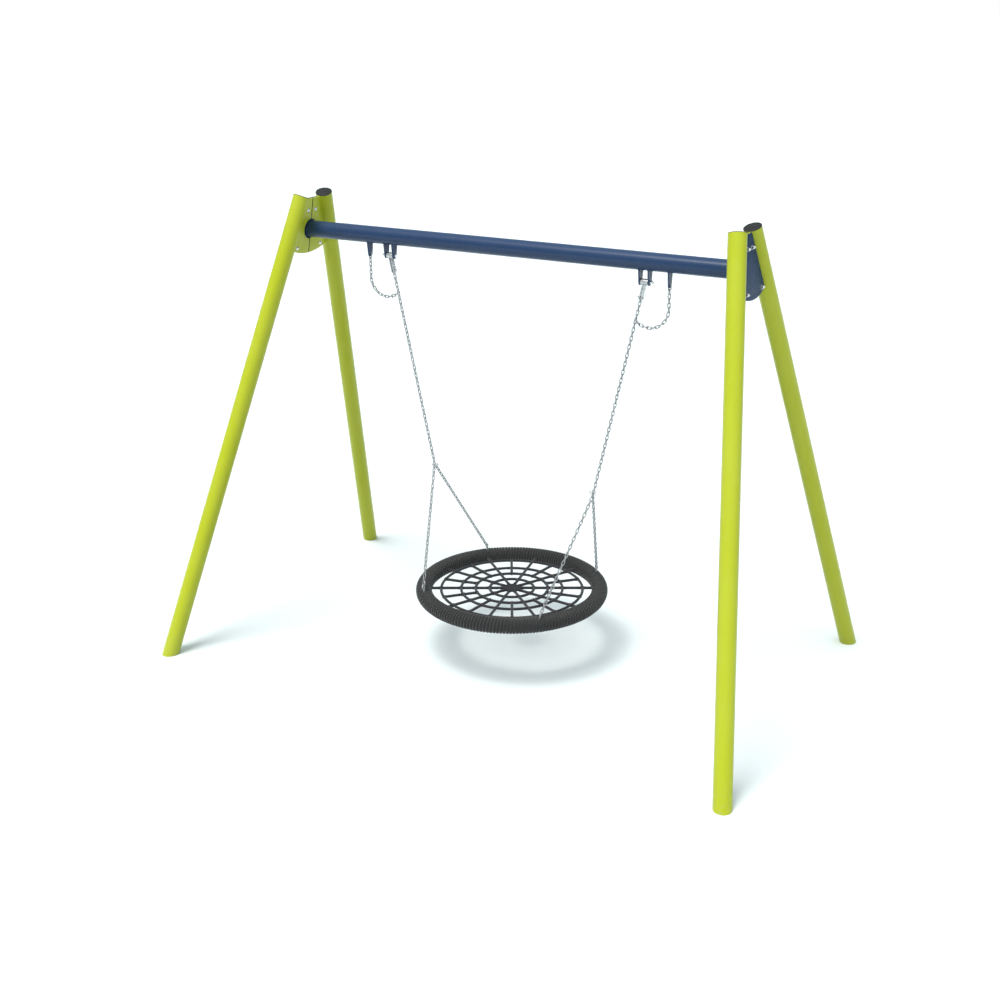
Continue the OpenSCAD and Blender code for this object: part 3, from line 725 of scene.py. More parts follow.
zinc_scratch = clouds(zinc, stretched(zinc, zinc_place, (90.0, 900.0, 500.0)), 1.0, 4.0, 0.7)
zinc_height = computed(zinc, "MULTIPLY_ADD", zinc_cells.outputs["Distance"], 0.5, zinc_scratch)
zinc.links.new(zinc_height, zinc_out["Height"])


def galvanised(name, flower_scale, light=zinc_light, dark=zinc_dark, dulled=1.0):
    """Zinc-coated steel with crystals of that scale; a low dulled leaves it bright."""
    material, tree, shader = new_material(name, light, 0.38, 0.85)
    values = {"Light": light, "Dark": dark, "Flower scale": flower_scale}
    add_skin(tree, shader, zinc, values, 0.0001, 0.4, dulled)
    return material


bolt_zinc = galvanised("bolt_zinc", 420.0, dulled=0.5)


def upended(place, x=0.0, y=0.0, z=0.0, flip=False):
    """A place whose third direction is the first direction of another one, moved inside it;
    flip makes it point the other way."""
    turn = -1.0 if flip else 1.0
    origin = placed(np.array([x, y, z]), place)
    return axes(origin, place[:3, 1], turn * place[:3, 2], turn * place[:3, 0])


def threaded(length, radius, pitch, place, steps=20, rows_a_turn=7):
    """A threaded end up the third direction: the radius falls from crest to root and back
    once a pitch, as |2 frac(z / pitch - a / 2 pi) - 1|, and runs out into a chamfer."""
    rows = int(length / pitch * rows_a_turn) + 1
    z = np.linspace(0.0, length, rows)[:, None]
    a = np.arange(steps)[None, :] * 2 * pi / steps
    depth = 0.61 * pitch
    wave = np.abs(2 * ((z / pitch - a / (2 * pi)) % 1.0) - 1.0)
    r = radius - depth * wave
    chamfer = np.clip((length - z) / (1.2 * depth), 0.0, 1.0)
    r = np.minimum(r, radius - depth * (1 - chamfer))
    points = np.stack([r * np.cos(a), r * np.sin(a), z + 0 * a], -1)
    return {"points": placed(points, place)}


def hexagonal(profile, across_flats, place, steps=48):
    """A hexagon turned in a lathe: at height z its radius is the hexagon's,
    af / 2 / cos(angle from the nearest flat), cut off by the profile's radius there."""
    profile = np.asarray(profile, float)
    a = np.arange(steps)[None, :] * 2 * pi / steps
    from_flat = (a + pi / 6) % (pi / 3) - pi / 6
    r = np.minimum(across_flats / 2 / np.cos(from_flat), profile[:, :1])
    points = np.stack([r * np.cos(a), r * np.sin(a), profile[:, 1:] + 0 * a], -1)
    return placed(points, place)


def chamfered(across_flats, height, bore_r=None, top_only=False):
    """The lathe's profile for a nut or a head: faces turned to a little under the width across
    the flats, chamfered at 30 degrees, and a countersunk bore for a nut."""
    face_r = across_flats / 2 * 0.96
    corner_r = across_flats / 2 / cos(pi / 6)
    drop = (corner_r - face_r) * tan(radians(30.0))
    fall = np.linspace(0.0, 1.0, 5)[:, None]
    lower = np.array([[face_r, 0.0]]) + fall * np.array([[corner_r - face_r, drop]])
    if top_only:
        lower = np.array([[corner_r, 0.0]])
    upper = np.array([[corner_r, height - drop]]) + fall * np.array([[face_r - corner_r, drop]])
    if bore_r is None:
        return np.concatenate([[(centre_r, 0.0)], lower, upper, [(centre_r, height)]])
    sink = 0.032 * across_flats
    bore = [(bore_r + sink, height), (bore_r, height - sink), (bore_r, sink), (bore_r + sink, 0.0)]
    return np.concatenate([lower, upper, bore])


def hex_nut(place, height, across_flats, thread_r):
    """A hexagon nut that stands up the third direction."""
    points = hexagonal(chamfered(across_flats, height, thread_r), across_flats, place)
    return {"points": points, "looped": True}


# The mushroom head: an arc over the dome, down to its thin rim, and round the rim's lower edge
dome_r = (head_r**2 + head_h**2) / (2 * head_h)
dome_fall = np.linspace(0.02, 1.0, 12) * asin((head_r - 0.0004) / dome_r)
dome = np.stack([np.sin(dome_fall), np.cos(dome_fall) - 1.0], -1) * dome_r + (0.0, head_h)
head_profile = np.concatenate(
    [
        np.maximum(dome, (0.0, 0.0006)),
        rounded((head_r - head_edge, head_edge), head_edge, 30.0, -90.0, 4),
        [(centre_r, 0.0)],
    ]
)
bolt_out = gusset_t / 2 + end_plate_t + washer_t
bolt_grids, nut_grids = [], []
for s in (-1, 1):
    here = plane_place(s)
    for y, z in ((f * y, z) for f in (-1, 1) for y, z in bolt_spots):
        inside = upended(here, -gusset_t / 2, y, z, flip=True)
        bolt_grids.append({"points": turned(head_profile, inside, 36)})
        shank = upended(here, -gusset_t / 2 - shank_bury, y, z)
        shank_l = bolt_out + nut_h - thread_hidden / 2 + gusset_t / 2 + shank_bury
        bolt_grids.append({"points": turned([(bolt_r, 0.0), (bolt_r, shank_l)], shank, 20)})
        end = upended(here, bolt_out + nut_h - thread_hidden, y, z)
        bolt_grids.append(threaded(thread_free + thread_hidden, bolt_r, bolt_pitch, end))
        seat = upended(here, bolt_out, y, z)
        nut_grids.append(hex_nut(seat, nut_h, nut_af, bolt_r + thread_play))
add_piece("plate_bolts", bolt_grids, bolt_zinc, "frame", ("gusset_bolts",), 32.0)
add_piece("plate_nuts", nut_grids, bolt_zinc, "frame", ("gusset_nuts",), 32.0)
dress(["gusset_washers"], bolt_zinc)

# ---------------------------------------------------------------------------
# Beam lugs. Six tapered 8 mm steel tongues, flame-cut to the beam's curve, welded on all
# round and coated with the beam: a pair for each bearing and a single one outside it for the
# safety chain.
# ---------------------------------------------------------------------------
joint_z = {joint["name"]: joint["pos_m"][2] for joint in frame["joints"]}
pivot_z = joint_z["swing"]
housing_lo, housing_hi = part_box("bearing_housing_right")
pivot_x = (housing_lo[0] + housing_hi[0]) / 2
safety_lo, safety_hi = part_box("safety_lug_right")
safety_x = (safety_lo[0] + safety_hi[0]) / 2
lug_t = safety_hi[0] - safety_lo[0]
lug_end_proud = 0.003     # how far the round end stands out past the frame's lug
lug_side_proud = 0.0055   # the same for each side, at the beam
lug_half_w = (safety_hi[1] - safety_lo[1]) / 2 + lug_side_proud
lug_end_r = pivot_z - safety_lo[2] + lug_end_proud
lug_pitch = 0.056
lug_rise = beam_z - pivot_z
lug_weld_r = 0.0030
lug_bury = 0.0005
safety_hole_r, hole_edge = 0.005, 0.0006


def lug_outline(steps=14):
    """Up one slanted side, over the beam's curve, down the other side and round the end."""
    reach = atan2(lug_rise, lug_half_w) - np.arccos(lug_end_r / hypot(lug_half_w, lug_rise))
    tip = (lug_end_r * cos(reach), lug_end_r * sin(reach))
    y = np.linspace(lug_half_w, -lug_half_w, 13)
    cradle = np.stack([y, lug_rise - np.sqrt((beam_r - lug_bury) ** 2 - y**2)], -1)
    turn = degrees(reach)
    tongue = rounded((0.0, 0.0), lug_end_r, 180.0 - turn, 360.0 + turn, steps)
    return np.concatenate([cradle, tongue[:-1], [tip]])


def lug_weld(x, steps=60, end_steps=6):
    """The bead round a lug: once round its foot, x +- t / 2 and y +- w / 2, laid on the beam."""
    y = np.linspace(-lug_half_w, lug_half_w, steps)
    near, far = x - lug_t / 2, x + lug_t / 2
    turn = np.linspace(near, far, end_steps + 2)[1:-1]
    end = np.full(end_steps, lug_half_w)
    flat = np.concatenate(
        [
            np.stack([np.full(steps, far), y], -1), np.stack([turn[::-1], end], -1),
            np.stack([np.full(steps, near), y[::-1]], -1), np.stack([turn, -end], -1),
        ]
    )
    z = beam_z - np.sqrt(beam_r**2 - flat[:, 1] ** 2)
    path = np.stack([flat[:, 0], flat[:, 1], z], -1)
    out = np.stack([flat[:, 0] - x, 0.25 * flat[:, 1], np.full(len(z), -0.004)], -1)
    return bead(path, unit(out), lug_weld_r, closed=True)


def lug(x, hole_r=None):
    """One lug whose middle is at x, with a round hole on the bearing's axis or with none."""
    here = axes(np.array([x, 0.0, pivot_z]), *np.eye(3))
    rows = plate(lug_outline(), -lug_t / 2, lug_t, here)
    if hole_r is None:
        return {"points": rows}
    aim = unit(rows[0][:, 1:] - (0.0, pivot_z))
    hole = []
    for x_at, r in (
        (lug_t / 2, hole_r + hole_edge), (lug_t / 2 - hole_edge, hole_r),
        (hole_edge - lug_t / 2, hole_r), (-lug_t / 2, hole_r + hole_edge),
    ):
        ring = np.empty_like(rows[0])
        ring[:, 0] = x + x_at
        ring[:, 1:] = (0.0, pivot_z) + r * aim
        hole.append(ring)
    return {"points": np.concatenate([rows, hole]), "looped": True}


for side, s in sides:
    pair = [s * (pivot_x + way * lug_pitch / 2) for way in (-1, 1)]
    for name, node, xs, hole_r in (
        (f"bearing_tongues_{side}", f"bearing_lugs_{side}", pair, None),
        (f"safety_tongue_{side}", f"safety_lug_{side}", [s * safety_x], safety_hole_r),
    ):
        grids = [grid for x in xs for grid in (lug(x, hole_r), lug_weld(x))]
        add_piece(name, grids, blue_steel, "frame", (node,))

# ---------------------------------------------------------------------------
# Bearings. An M12 bolt through each pair of lugs carries a steel sleeve that turns on two
# flanged bushes of white polyamide. The bolt's hexagon head is inboard; outboard it has a
# washer and a lock nut, whose domed collar grips a nylon ring.
# ---------------------------------------------------------------------------
pivot_head_h, pivot_nut_h, pivot_end = 0.0075, 0.012, 0.008
sleeve_r = (housing_hi[2] - housing_lo[2]) / 2
sleeve_half = (housing_hi[0] - housing_lo[0]) / 2
sleeve_wall = 0.0080
lug_out = lug_pitch / 2 + lug_t / 2
nylon_h = 0.0026
collar_h, collar_lip = 0.0032, 0.0016
collar_share = 0.86       # the collar's width over the nut's, across its flats

bush_polyamide = moulded("bush_polyamide", (0.72, 0.71, 0.64), (0.60, 0.585, 0.50), 1300.0, 0.0001)
sleeve_zinc = galvanised("sleeve_zinc", 170.0, (0.700, 0.712, 0.720), (0.420, 0.432, 0.445))


def hex_bolt(place, head_h, across_flats, radius, shank_l, end_l, pitch):
    """A hexagon bolt: its shank runs up the third direction from the head's bearing face, and
    the last end_l of it is threaded."""
    x, y, z = place[:3, :3].T
    under = axes(place[:3, 3], x, -y, -z)
    thread = axes(place[:3, 3] + (shank_l - end_l) * z, x, y, z)
    head = chamfered(across_flats, head_h, top_only=True)
    return [
        {"points": hexagonal(head, across_flats, under)},
        {"points": turned([(radius, -0.001), (radius, shank_l - end_l + 0.0002)], place, 20)},
        threaded(end_l, radius, pitch, thread),
    ]


def lock_nut(place, height, across_flats, thread_r):
    """A hexagon with a domed collar above it: the lathe's profile goes up the hexagon, in to
    the collar, over its lip and down the bore."""
    hexagon = chamfered(across_flats, height - collar_h)[1:-1]
    collar_r = across_flats / 2 * collar_share
    lip = rounded((collar_r - collar_lip, height - collar_lip), collar_lip, 0.0, 100.0, 6)
    inner = [(collar_r - 0.0019, height - 0.0006), (thread_r + 0.0012, height - nylon_h)]
    profile = np.concatenate([hexagon, lip, inner, [(thread_r, height - nylon_h), (thread_r, 0.0)]])
    return {"points": hexagonal(profile, across_flats, place), "looped": True}


def nylon_ring(place, height, across_flats, thread_r):
    """The locking ring inside the collar, a little proud of the thread."""
    outer = across_flats / 2 * collar_share - 0.0020
    profile = [
        (outer, height - nylon_h), (outer, height - 0.0010), (thread_r + 0.0004, height - 0.0010),
        (thread_r - 0.0001, height - 0.0016), (thread_r - 0.0001, height - nylon_h),
    ]
    return {"points": turned(profile, place, 32), "looped": True}


def bearing_place(s):
    """The middle of a bearing: the first direction runs along its bolt, outwards."""
    return axes((s * pivot_x, 0.0, pivot_z), (s, 0.0, 0.0), (0.0, 1.0, 0.0), (0.0, 0.0, 1.0))


grids, nuts, rings = [], [], []
for s in (-1, 1):
    here = bearing_place(s)
    shank_l = 2 * lug_out + washer_t + pivot_nut_h + pivot_end
    grids += hex_bolt(
        upended(here, -lug_out), pivot_head_h, nut_af, bolt_r, shank_l, pivot_end + 0.003, bolt_pitch
    )
    seat = upended(here, lug_out + washer_t)
    nuts.append(lock_nut(seat, pivot_nut_h, nut_af, bolt_r + thread_play))
    rings.append(nylon_ring(seat, pivot_nut_h, nut_af, bolt_r + thread_play))
add_piece("bearing_bolts", grids, bolt_zinc, "frame", ("pivot_bolts",), 32.0)
add_piece("bearing_lock_nuts", nuts, bolt_zinc, "frame", ("pivot_nuts",), 32.0)
add_piece("lock_nut_rings", rings, bush_polyamide, "frame")
dress(["pivot_washers"], bolt_zinc)

sleeve_edge = 0.0010
sleeve_profile = np.concatenate(
    [
        rounded((sleeve_r - sleeve_edge, sleeve_half - sleeve_edge), sleeve_edge, 0.0, 90.0, 4),
        [(sleeve_r - sleeve_wall, sleeve_half), (sleeve_r - sleeve_wall, -sleeve_half)],
        rounded((sleeve_r - sleeve_edge, sleeve_edge - sleeve_half), sleeve_edge, -90.0, 0.0, 4),
    ]
)
for side, s in sides:
    sleeve = {"points": turned(sleeve_profile, upended(bearing_place(s)), 64), "looped": True}
    node = f"bearing_housing_{side}"
    add_piece(f"bearing_sleeve_{side}", [sleeve], sleeve_zinc, "swing", (node,))
dress(["bushes_left", "bushes_right"], bush_polyamide)

# ---------------------------------------------------------------------------
# Hangers. Two 28 by 5 mm steel straps are welded under each sleeve in the plane of the chains
# and tied by two rivets. An M8 bolt between their round ends holds the first link.
# ---------------------------------------------------------------------------
rim_lo, rim_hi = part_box("rim_winding")
tube_r = (rim_hi[2] - rim_lo[2]) / 2
rim_r = (rim_hi[0] - rim_lo[0]) / 2 - tube_r
rim_z = (rim_hi[2] + rim_lo[2]) / 2
eye_angle = radians(45.0)
eye_y = rim_r * sin(eye_angle)
chain_lean = atan2(pivot_x - rim_r * cos(eye_angle), pivot_z - rim_z)
hanger_drop = 0.094
strap_w, strap_t = 0.028, 0.005
strap_in = 0.0045
strap_out = strap_in + strap_t
strap_edge_r = 0.0007
strap_bury = 0.0003
toe_weld_r, toe_inset, toe_fall, toe_steps = 0.0022, 0.002, 0.0006, 22
rivet_drops = (0.049, 0.062)
rivet_r, rivet_head_r, rivet_head_h = 0.003, 0.0055, 0.0025
link_bolt_r = 0.00385
link_bolt_pitch = 0.00125
link_nut_af, link_nut_h, link_head_h, link_bolt_end = 0.013, 0.008, 0.0055, 0.006


def chain_place(s, drop=0.0, x=0.0):
    """A point down a hanging side: the third direction runs up the chain, the first is the
    normal of the side's plane and points outwards."""
    normal = np.array([s * cos(chain_lean), 0.0, -sin(chain_lean)])
    up = np.array([s * sin(chain_lean), 0.0, cos(chain_lean)])
    origin = np.array([s * pivot_x, 0.0, pivot_z]) - drop * up + x * normal
    return axes(origin, normal, (0.0, 1.0, 0.0), up)


cut = np.linspace(-strap_w / 2, strap_w / 2, 11)
strap_outline = np.concatenate(
    [
        np.stack([cut[::-1], -np.sqrt((sleeve_r - strap_bury) ** 2 - cut[::-1] ** 2)], -1),
        rounded((0.0, -hanger_drop), strap_w / 2, 180.0, 360.0, 24),
    ]
)
for side, s in sides:
    here = chain_place(s)
    grids = []
    y = np.linspace(-strap_w / 2 + toe_inset, strap_w / 2 - toe_inset, toe_steps)
    for x, face in ((-strap_out, -1), (strap_in, 1)):
        grids.append({"points": plate(strap_outline, x, strap_t, here, strap_edge_r)})
        z = -np.sqrt(sleeve_r**2 - y**2) - toe_fall
        toe = np.stack([np.full(toe_steps, face * strap_out), y, z], -1)
        out = np.tile(face * here[:3, 0], (toe_steps, 1))
        grids.append(bead(placed(toe, here), out, toe_weld_r))
    add_piece(f"hanger_{side}", grids, sleeve_zinc, "swing", (f"hanger_straps_{side}",))

rivet_dome = [
    (centre_r, rivet_head_h), (rivet_head_r * 0.45, rivet_head_h * 0.93),
    (rivet_head_r * 0.78, rivet_head_h * 0.68), (rivet_head_r * 0.96, rivet_head_h * 0.28),
    (rivet_head_r, 0.0), (centre_r, 0.0),
]
grids = []
for s in (-1, 1):
    for drop in rivet_drops:
        here = chain_place(s, drop)
        body = [(rivet_r, -strap_out), (rivet_r, strap_out)]
        grids.append({"points": turned(body, upended(here), 16)})
        for flip in (False, True):
            at = upended(here, strap_out * (-1 if flip else 1), flip=flip)
            grids.append({"points": turned(rivet_dome, at, 20)})
add_piece("rivets", grids, bolt_zinc, "swing", ("hanger_rivets",), 50.0)


def link_bolt(here, out):
    """An M8 bolt along a place's first direction with its head outwards, and its nut."""
    shank_l = 2 * out + link_nut_h + link_bolt_end
    bolt = hex_bolt(
        upended(here, out, flip=True), link_head_h, link_nut_af, link_bolt_r, shank_l,
        link_bolt_end + 0.002, link_bolt_pitch,
    )
    seat = upended(here, -out, flip=True)
    return bolt, hex_nut(seat, link_nut_h, link_nut_af, link_bolt_r + thread_play)


def add_link_bolts(name, stands_for, drop, out):
    """The bolts and nuts at that drop on both sides."""
    grids, nuts = [], []
    for s in (-1, 1):
        bolt, nut = link_bolt(chain_place(s, drop), out)
        grids += bolt
        nuts.append(nut)
    for kind, made in (("bolts", grids), ("nuts", nuts)):
        node = f"{stands_for}_{kind}"
        add_piece(f"{name}_{kind}", made, bolt_zinc, "swing", (node,), 32.0)


add_link_bolts("link", "hanger", hanger_drop, strap_out)

# ---------------------------------------------------------------------------
# Chains. Short-link chain of 6 mm wire, hot-dip galvanised: each link is bent from a length
# of wire and butt-welded on one side, which leaves a small swelling there. Main chains run
# from hanger to shackle, and a slack safety chain joins the single lug to their sixth link.
# ---------------------------------------------------------------------------
wire_r = 0.003
weld_swell = (1.03, 1.16, 1.03)
weld_reach = (0.0024, 0.0, -0.0024)
link_pitch = 0.0258
link_w = 0.0084
lug_link_w = 0.012
seat_play = 0.0003
link_l = link_pitch + seat_play
on_bolt = (link_l - link_w) / 2
safety_link = 5           # pitches down from the main chain's first link to the held one
safety_turn = radians(126.0)
link_slack = 0.0005
fork_drop = (pivot_z - joint_z["seat_tilt"]) / cos(chain_lean)
shackle_l = 0.022
into_shackle = link_l / 2 - wire_r - seat_play
chain_zinc = galvanised("chain_zinc", 300.0, (0.540, 0.552, 0.560), (0.270, 0.280, 0.290))


def link_surface(inner_w=link_w, bow_steps=7, round_steps=8):
    """One link about its own middle, in the first and third directions: a circle of the
    wire's radius carried round an oval, c + r (cos a, sin a), where c is the middle of the
    upper or the lower bow. The wire swells at the weld, in the middle of one side."""
    r = inner_w / 2 + wire_r
    half = (link_l - inner_w) / 2
    bow = np.radians(np.linspace(0.0, 180.0, bow_steps))
    a = np.concatenate([bow, np.full(len(weld_swell), pi), bow + pi])
    c = np.concatenate([np.full(bow_steps, half), weld_reach, np.full(bow_steps, -half)])
    thick = wire_r * np.concatenate([np.ones(bow_steps), weld_swell, np.ones(bow_steps)])
    out = np.stack([np.cos(a), 0 * a, np.sin(a)], -1)
    middle = r * out + np.stack([0 * a, 0 * a, c], -1)
    b = ((np.arange(round_steps) + 0.5) * 2 * pi / round_steps)[None, :, None]
    ring = np.cos(b) * out[:, None] + np.sin(b) * np.array([0.0, 1.0, 0.0])
    return middle[:, None] + thick[:, None, None] * ring


plain_link = link_surface()


def quarter_turned(points):
    """A link turned a quarter about its long direction."""
    return np.stack([-points[..., 1], points[..., 0], points[..., 2]], -1)


def straight_chain(place, count):
    """Links a pitch apart down the third direction, alternately square to the first."""
    links = []
    for i in range(count):
        surface = (quarter_turned(plain_link) if i % 2 == 0 else plain_link).copy()
        surface[..., 2] -= i * link_pitch
        links.append({"points": placed(surface, place), "looped": True})
    return links


main_count = round((fork_drop - shackle_l - into_shackle - on_bolt - hanger_drop) / link_pitch) + 1
for side, s in sides:
    links = straight_chain(chain_place(s, hanger_drop + on_bolt), main_count)
    node = f"main_chain_{side}"
    add_piece(f"long_chain_{side}", links, chain_zinc, "swing", (node,), 80.0)


def safety_links(s):
    """The slack chain: straight down from its lug, then along one arc up to the held link.
    The arc's radius and the drop follow from its two ends and the angle it turns."""
    held_drop = hanger_drop + on_bolt + link_pitch * safety_link
    lean = np.array([sin(chain_lean), cos(chain_lean)])
    held = np.array([pivot_x, pivot_z]) - held_drop * lean
    held = held + (link_w / 2 + wire_r) * np.array([lean[1], -lean[0]])
    start = np.array([safety_x, pivot_z - link_l / 2 - wire_r])
    slant = safety_turn - pi / 2 - chain_lean
    reach = link_l / 2 + wire_r - (2 * wire_r + seat_play) / cos(slant)
    end = held + reach * np.array([sin(safety_turn), cos(safety_turn)])
    radius = (start[0] - end[0]) / (1 - cos(safety_turn))
    drop = start[1] - end[1] - radius * sin(safety_turn)
    length = drop + radius * safety_turn
    count = 2 * int(np.ceil((length / (link_pitch - link_slack) + 1) / 2))
    links = []
    for i in range(count):
        at = i * length / (count - 1)
        a = max(0.0, (at - drop) / radius)
        x = start[0] - radius * (1 - cos(a))
        z = start[1] - min(at, drop) - radius * sin(a)
        surface = link_surface(lug_link_w) if i == 0 else plain_link
        if i % 2:
            surface = quarter_turned(surface)
        across, up = (s * cos(a), 0.0, -sin(a)), (s * sin(a), 0.0, cos(a))
        here = axes((s * x, 0.0, z), across, (0.0, 1.0, 0.0), up)
        links.append({"points": placed(surface, here), "looped": True})
    return links


for side, s in sides:
    links, node = safety_links(s), f"safety_chain_{side}"
    add_piece(f"slack_chain_{side}", links, chain_zinc, "swing", (node,), 80.0)

# ---------------------------------------------------------------------------
# Shackles and bridles. A forged bow shackle ends each main chain; its M8 bolt carries two
# bridle chains side by side, which run out to the eyes on the rim.
# ---------------------------------------------------------------------------
shackle_in, shackle_play = 0.007, 0.0005
shackle_out = shackle_in + 2 * wire_r + shackle_play
fork_side = wire_r + seat_play
eye_r, eye_wire_r, eye_lift = 0.011, 0.004, 0.005
eye_stem = eye_r + eye_wire_r + eye_lift + tube_r
rim_drop = (pivot_z - rim_z) / cos(chain_lean)
bridle_lean = atan2(eye_y, rim_drop - eye_stem - fork_drop)
on_eye = link_l / 2 - eye_wire_r - seat_play + eye_r
bridle_l = hypot(eye_y, rim_drop - eye_stem - fork_drop)
bridle_count = round((bridle_l - on_bolt - on_eye) / link_pitch) + 1

dress(["shackle_left", "shackle_right"], sleeve_zinc)
add_link_bolts("fork", "shackle", fork_drop, shackle_out)

for corner, s, f in corners:
    fork = chain_place(s, fork_drop, -f * fork_side)
    across, aside, up = fork[:3, :3].T
    lean_y = cos(bridle_lean) * aside + f * sin(bridle_lean) * up
    lean_up = cos(bridle_lean) * up - f * sin(bridle_lean) * aside
    here = axes(fork[:3, 3] - on_bolt * lean_up, across, lean_y, lean_up)
    links, node = straight_chain(here, bridle_count), f"bridle_{corner}"
    add_piece(f"bridle_chain_{corner}", links, chain_zinc, "seat", (node,), 80.0)

# ---------------------------------------------------------------------------
# Rim. A steel tube ring with four welded eyes, in a black sleeve, wound turn by turn with
# 19 mm rope of black polyester over steel strands. Four lengths of rope meet at the eyes'
# stems, and the turns part round each stem.
# ---------------------------------------------------------------------------
winding_r = 0.0095
core_r = tube_r - 2 * winding_r
coil_r = core_r + winding_r
stem_r = 0.006
lay_ratio = 6.5
strands = 6
points_a_strand = 4
rope_black = (0.0190, 0.0200, 0.0202)
rope_worn = (0.0370, 0.0376, 0.0362)
loose_fibre = (0.170, 0.170, 0.165)

# Rope yarns: thin yarns that cross each strand on the slant, greyer where the strands stand
# proud and rub, darker in the furrows, with a few loose pale fibres
yarn, yarn_in, yarn_out = new_skin(
    "rope yarns",
    {"Fibre": (0.05, 0.05, 0.05), "Worn": (0.1, 0.1, 0.1), "Yarns round": 30.0, "Yarn slant": 55.0},
)
yarn_uv = add_node(yarn, "ShaderNodeUVMap", uv_map="UVMap").outputs["UV"]
yarn_place = add_node(yarn, "ShaderNodeTexCoord").outputs["Object"]
yarn_crown = add_node(yarn, "ShaderNodeAttribute", attribute_name="crown").outputs["Fac"]
yarn_split = add_node(yarn, "ShaderNodeSeparateXYZ")
yarn.links.new(yarn_uv, yarn_split.inputs[0])
yarn_along = computed(yarn, "MULTIPLY", yarn_split.outputs["X"], yarn_in["Yarn slant"])
yarn_round = yarn_split.outputs["Y"]
yarn_line = computed(yarn, "MULTIPLY_ADD", yarn_round, yarn_in["Yarns round"], yarn_along)
yarn_wave = computed(yarn, "SINE", computed(yarn, "MULTIPLY", yarn_line, pi))
yarn_wave = computed(yarn, "ABSOLUTE", yarn_wave)
yarn_fuzz = clouds(yarn, yarn_place, 900.0, 3.0, 0.7)
yarn_patch = ranged(yarn, clouds(yarn, yarn_place, 9.0, 4.0, 0.6), 0.34, 0.68, 0.25, 1.0)
yarn_rub = computed(yarn, "MULTIPLY", computed(yarn, "POWER", yarn_crown, 1.6), yarn_patch)
yarn_rub = computed(yarn, "MULTIPLY", yarn_rub, ranged(yarn, yarn_wave, 0.0, 1.0, 0.35, 1.0))
yarn_colour = mixed(yarn, yarn_rub, yarn_in["Fibre"], yarn_in["Worn"])
yarn_pale = ranged(yarn, yarn_fuzz, 0.66, 0.78, 0.0, 0.30)
yarn_colour = mixed(yarn, yarn_pale, yarn_colour, (*loose_fibre, 1.0))
yarn.links.new(yarn_colour, yarn_out["Colour"])
yarn.links.new(ranged(yarn, yarn_rub, 0.0, 1.0, 0.62, 0.80), yarn_out["Roughness"])
yarn.links.new(computed(yarn, "MULTIPLY_ADD", yarn_fuzz, 0.5, yarn_wave), yarn_out["Height"])


def rope_fibre(name, fibre, worn, yarns_round, yarn_slant):
    """Polyester rope of that colour."""
    material, tree, shader = new_material(name, fibre, 0.7, Sheen_Weight=0.25, Sheen_Roughness=0.5)
    shader.inputs["Specular IOR Level"].default_value = 0.35
    values = {"Fibre": fibre, "Worn": worn, "Yarns round": yarns_round, "Yarn slant": yarn_slant}
    add_skin(tree, shader, yarn, values, 0.0004, 0.6)
    return material


def laid_rope(path, out, radius, looped=False, width=None, height=None, filled=0.80):
    """A laid rope of six strands. Round the path the section is a ring of six circles, each
    a third of the radius: 2/3 cos a + sqrt(1/9 - 4/9 sin^2 a) of it, a being the angle from
    the nearest strand's middle, with the furrows filled up to some part of it. It turns once
    in a lay of 6.5 diameters. width and height stretch it sideways and along out."""
    s, out, side = along_path(path, out, looped)
    length = s[-1] + (np.linalg.norm(path[0] - path[-1]) if looped else 0.0)
    turns = length / (lay_ratio * 2 * radius)
    twist = 2 * pi * (round(turns) if looped else turns) * s / length
    steps = strands * points_a_strand
    j = np.arange(steps)
    a = ((j % points_a_strand) / points_a_strand - 0.5) * 2 * pi / strands
    lobe = 2 / 3 * np.cos(a) + np.sqrt(np.clip(1 / 9 - 4 / 9 * np.sin(a) ** 2, 0.0, None))
    lobe = np.maximum(lobe, filled)
    turn = twist[:, None] + j[None, :] * 2 * pi / steps
    wide = np.ones(len(path)) if width is None else width
    high = np.ones(len(path)) if height is None else height
    x = radius * lobe * np.cos(turn) * wide[:, None]
    y = radius * lobe * np.sin(turn) * high[:, None]
    crown = np.tile((lobe - filled) / (1 - filled), (len(path), 1))
    return {
        "points": path[:, None] + x[..., None] * side[:, None] + y[..., None] * out[:, None],
        "looped": looped,
        "u": np.append(s, length) if looped else s,
        "crown": crown,
    }


rim_fibre = rope_fibre("rim_fibre", rope_black, rope_worn, 30.0, 60.0)

# Where each stem leaves the winding: its angle round the ring, and round the tube
stem_spots = []
for s, f in ((1, -1), (1, 1), (-1, 1), (-1, -1)):
    lean_x = s * sin(chain_lean)
    at = np.array([s * rim_r * cos(eye_angle) + lean_x * coil_r - s * f * fork_side, f * eye_y])
    stem_spots.append(atan2(at[1], at[0]))
stem_ring = np.unwrap(stem_spots + [stem_spots[0] + 2 * pi])
stem_round = atan2(cos(chain_lean), sin(chain_lean) * cos(eye_angle))
turn_pitch = 2 * winding_r * 0.998
turn_counts = [round(rim_r * arc / turn_pitch) for arc in np.diff(stem_ring)]
turn_starts = np.concatenate([[0], np.cumsum(turn_counts)]) + 0.5 + stem_round / (2 * pi)
rows_a_turn = 32
push_share, push_onset, push_fade = 1.35, 0.003, 0.030


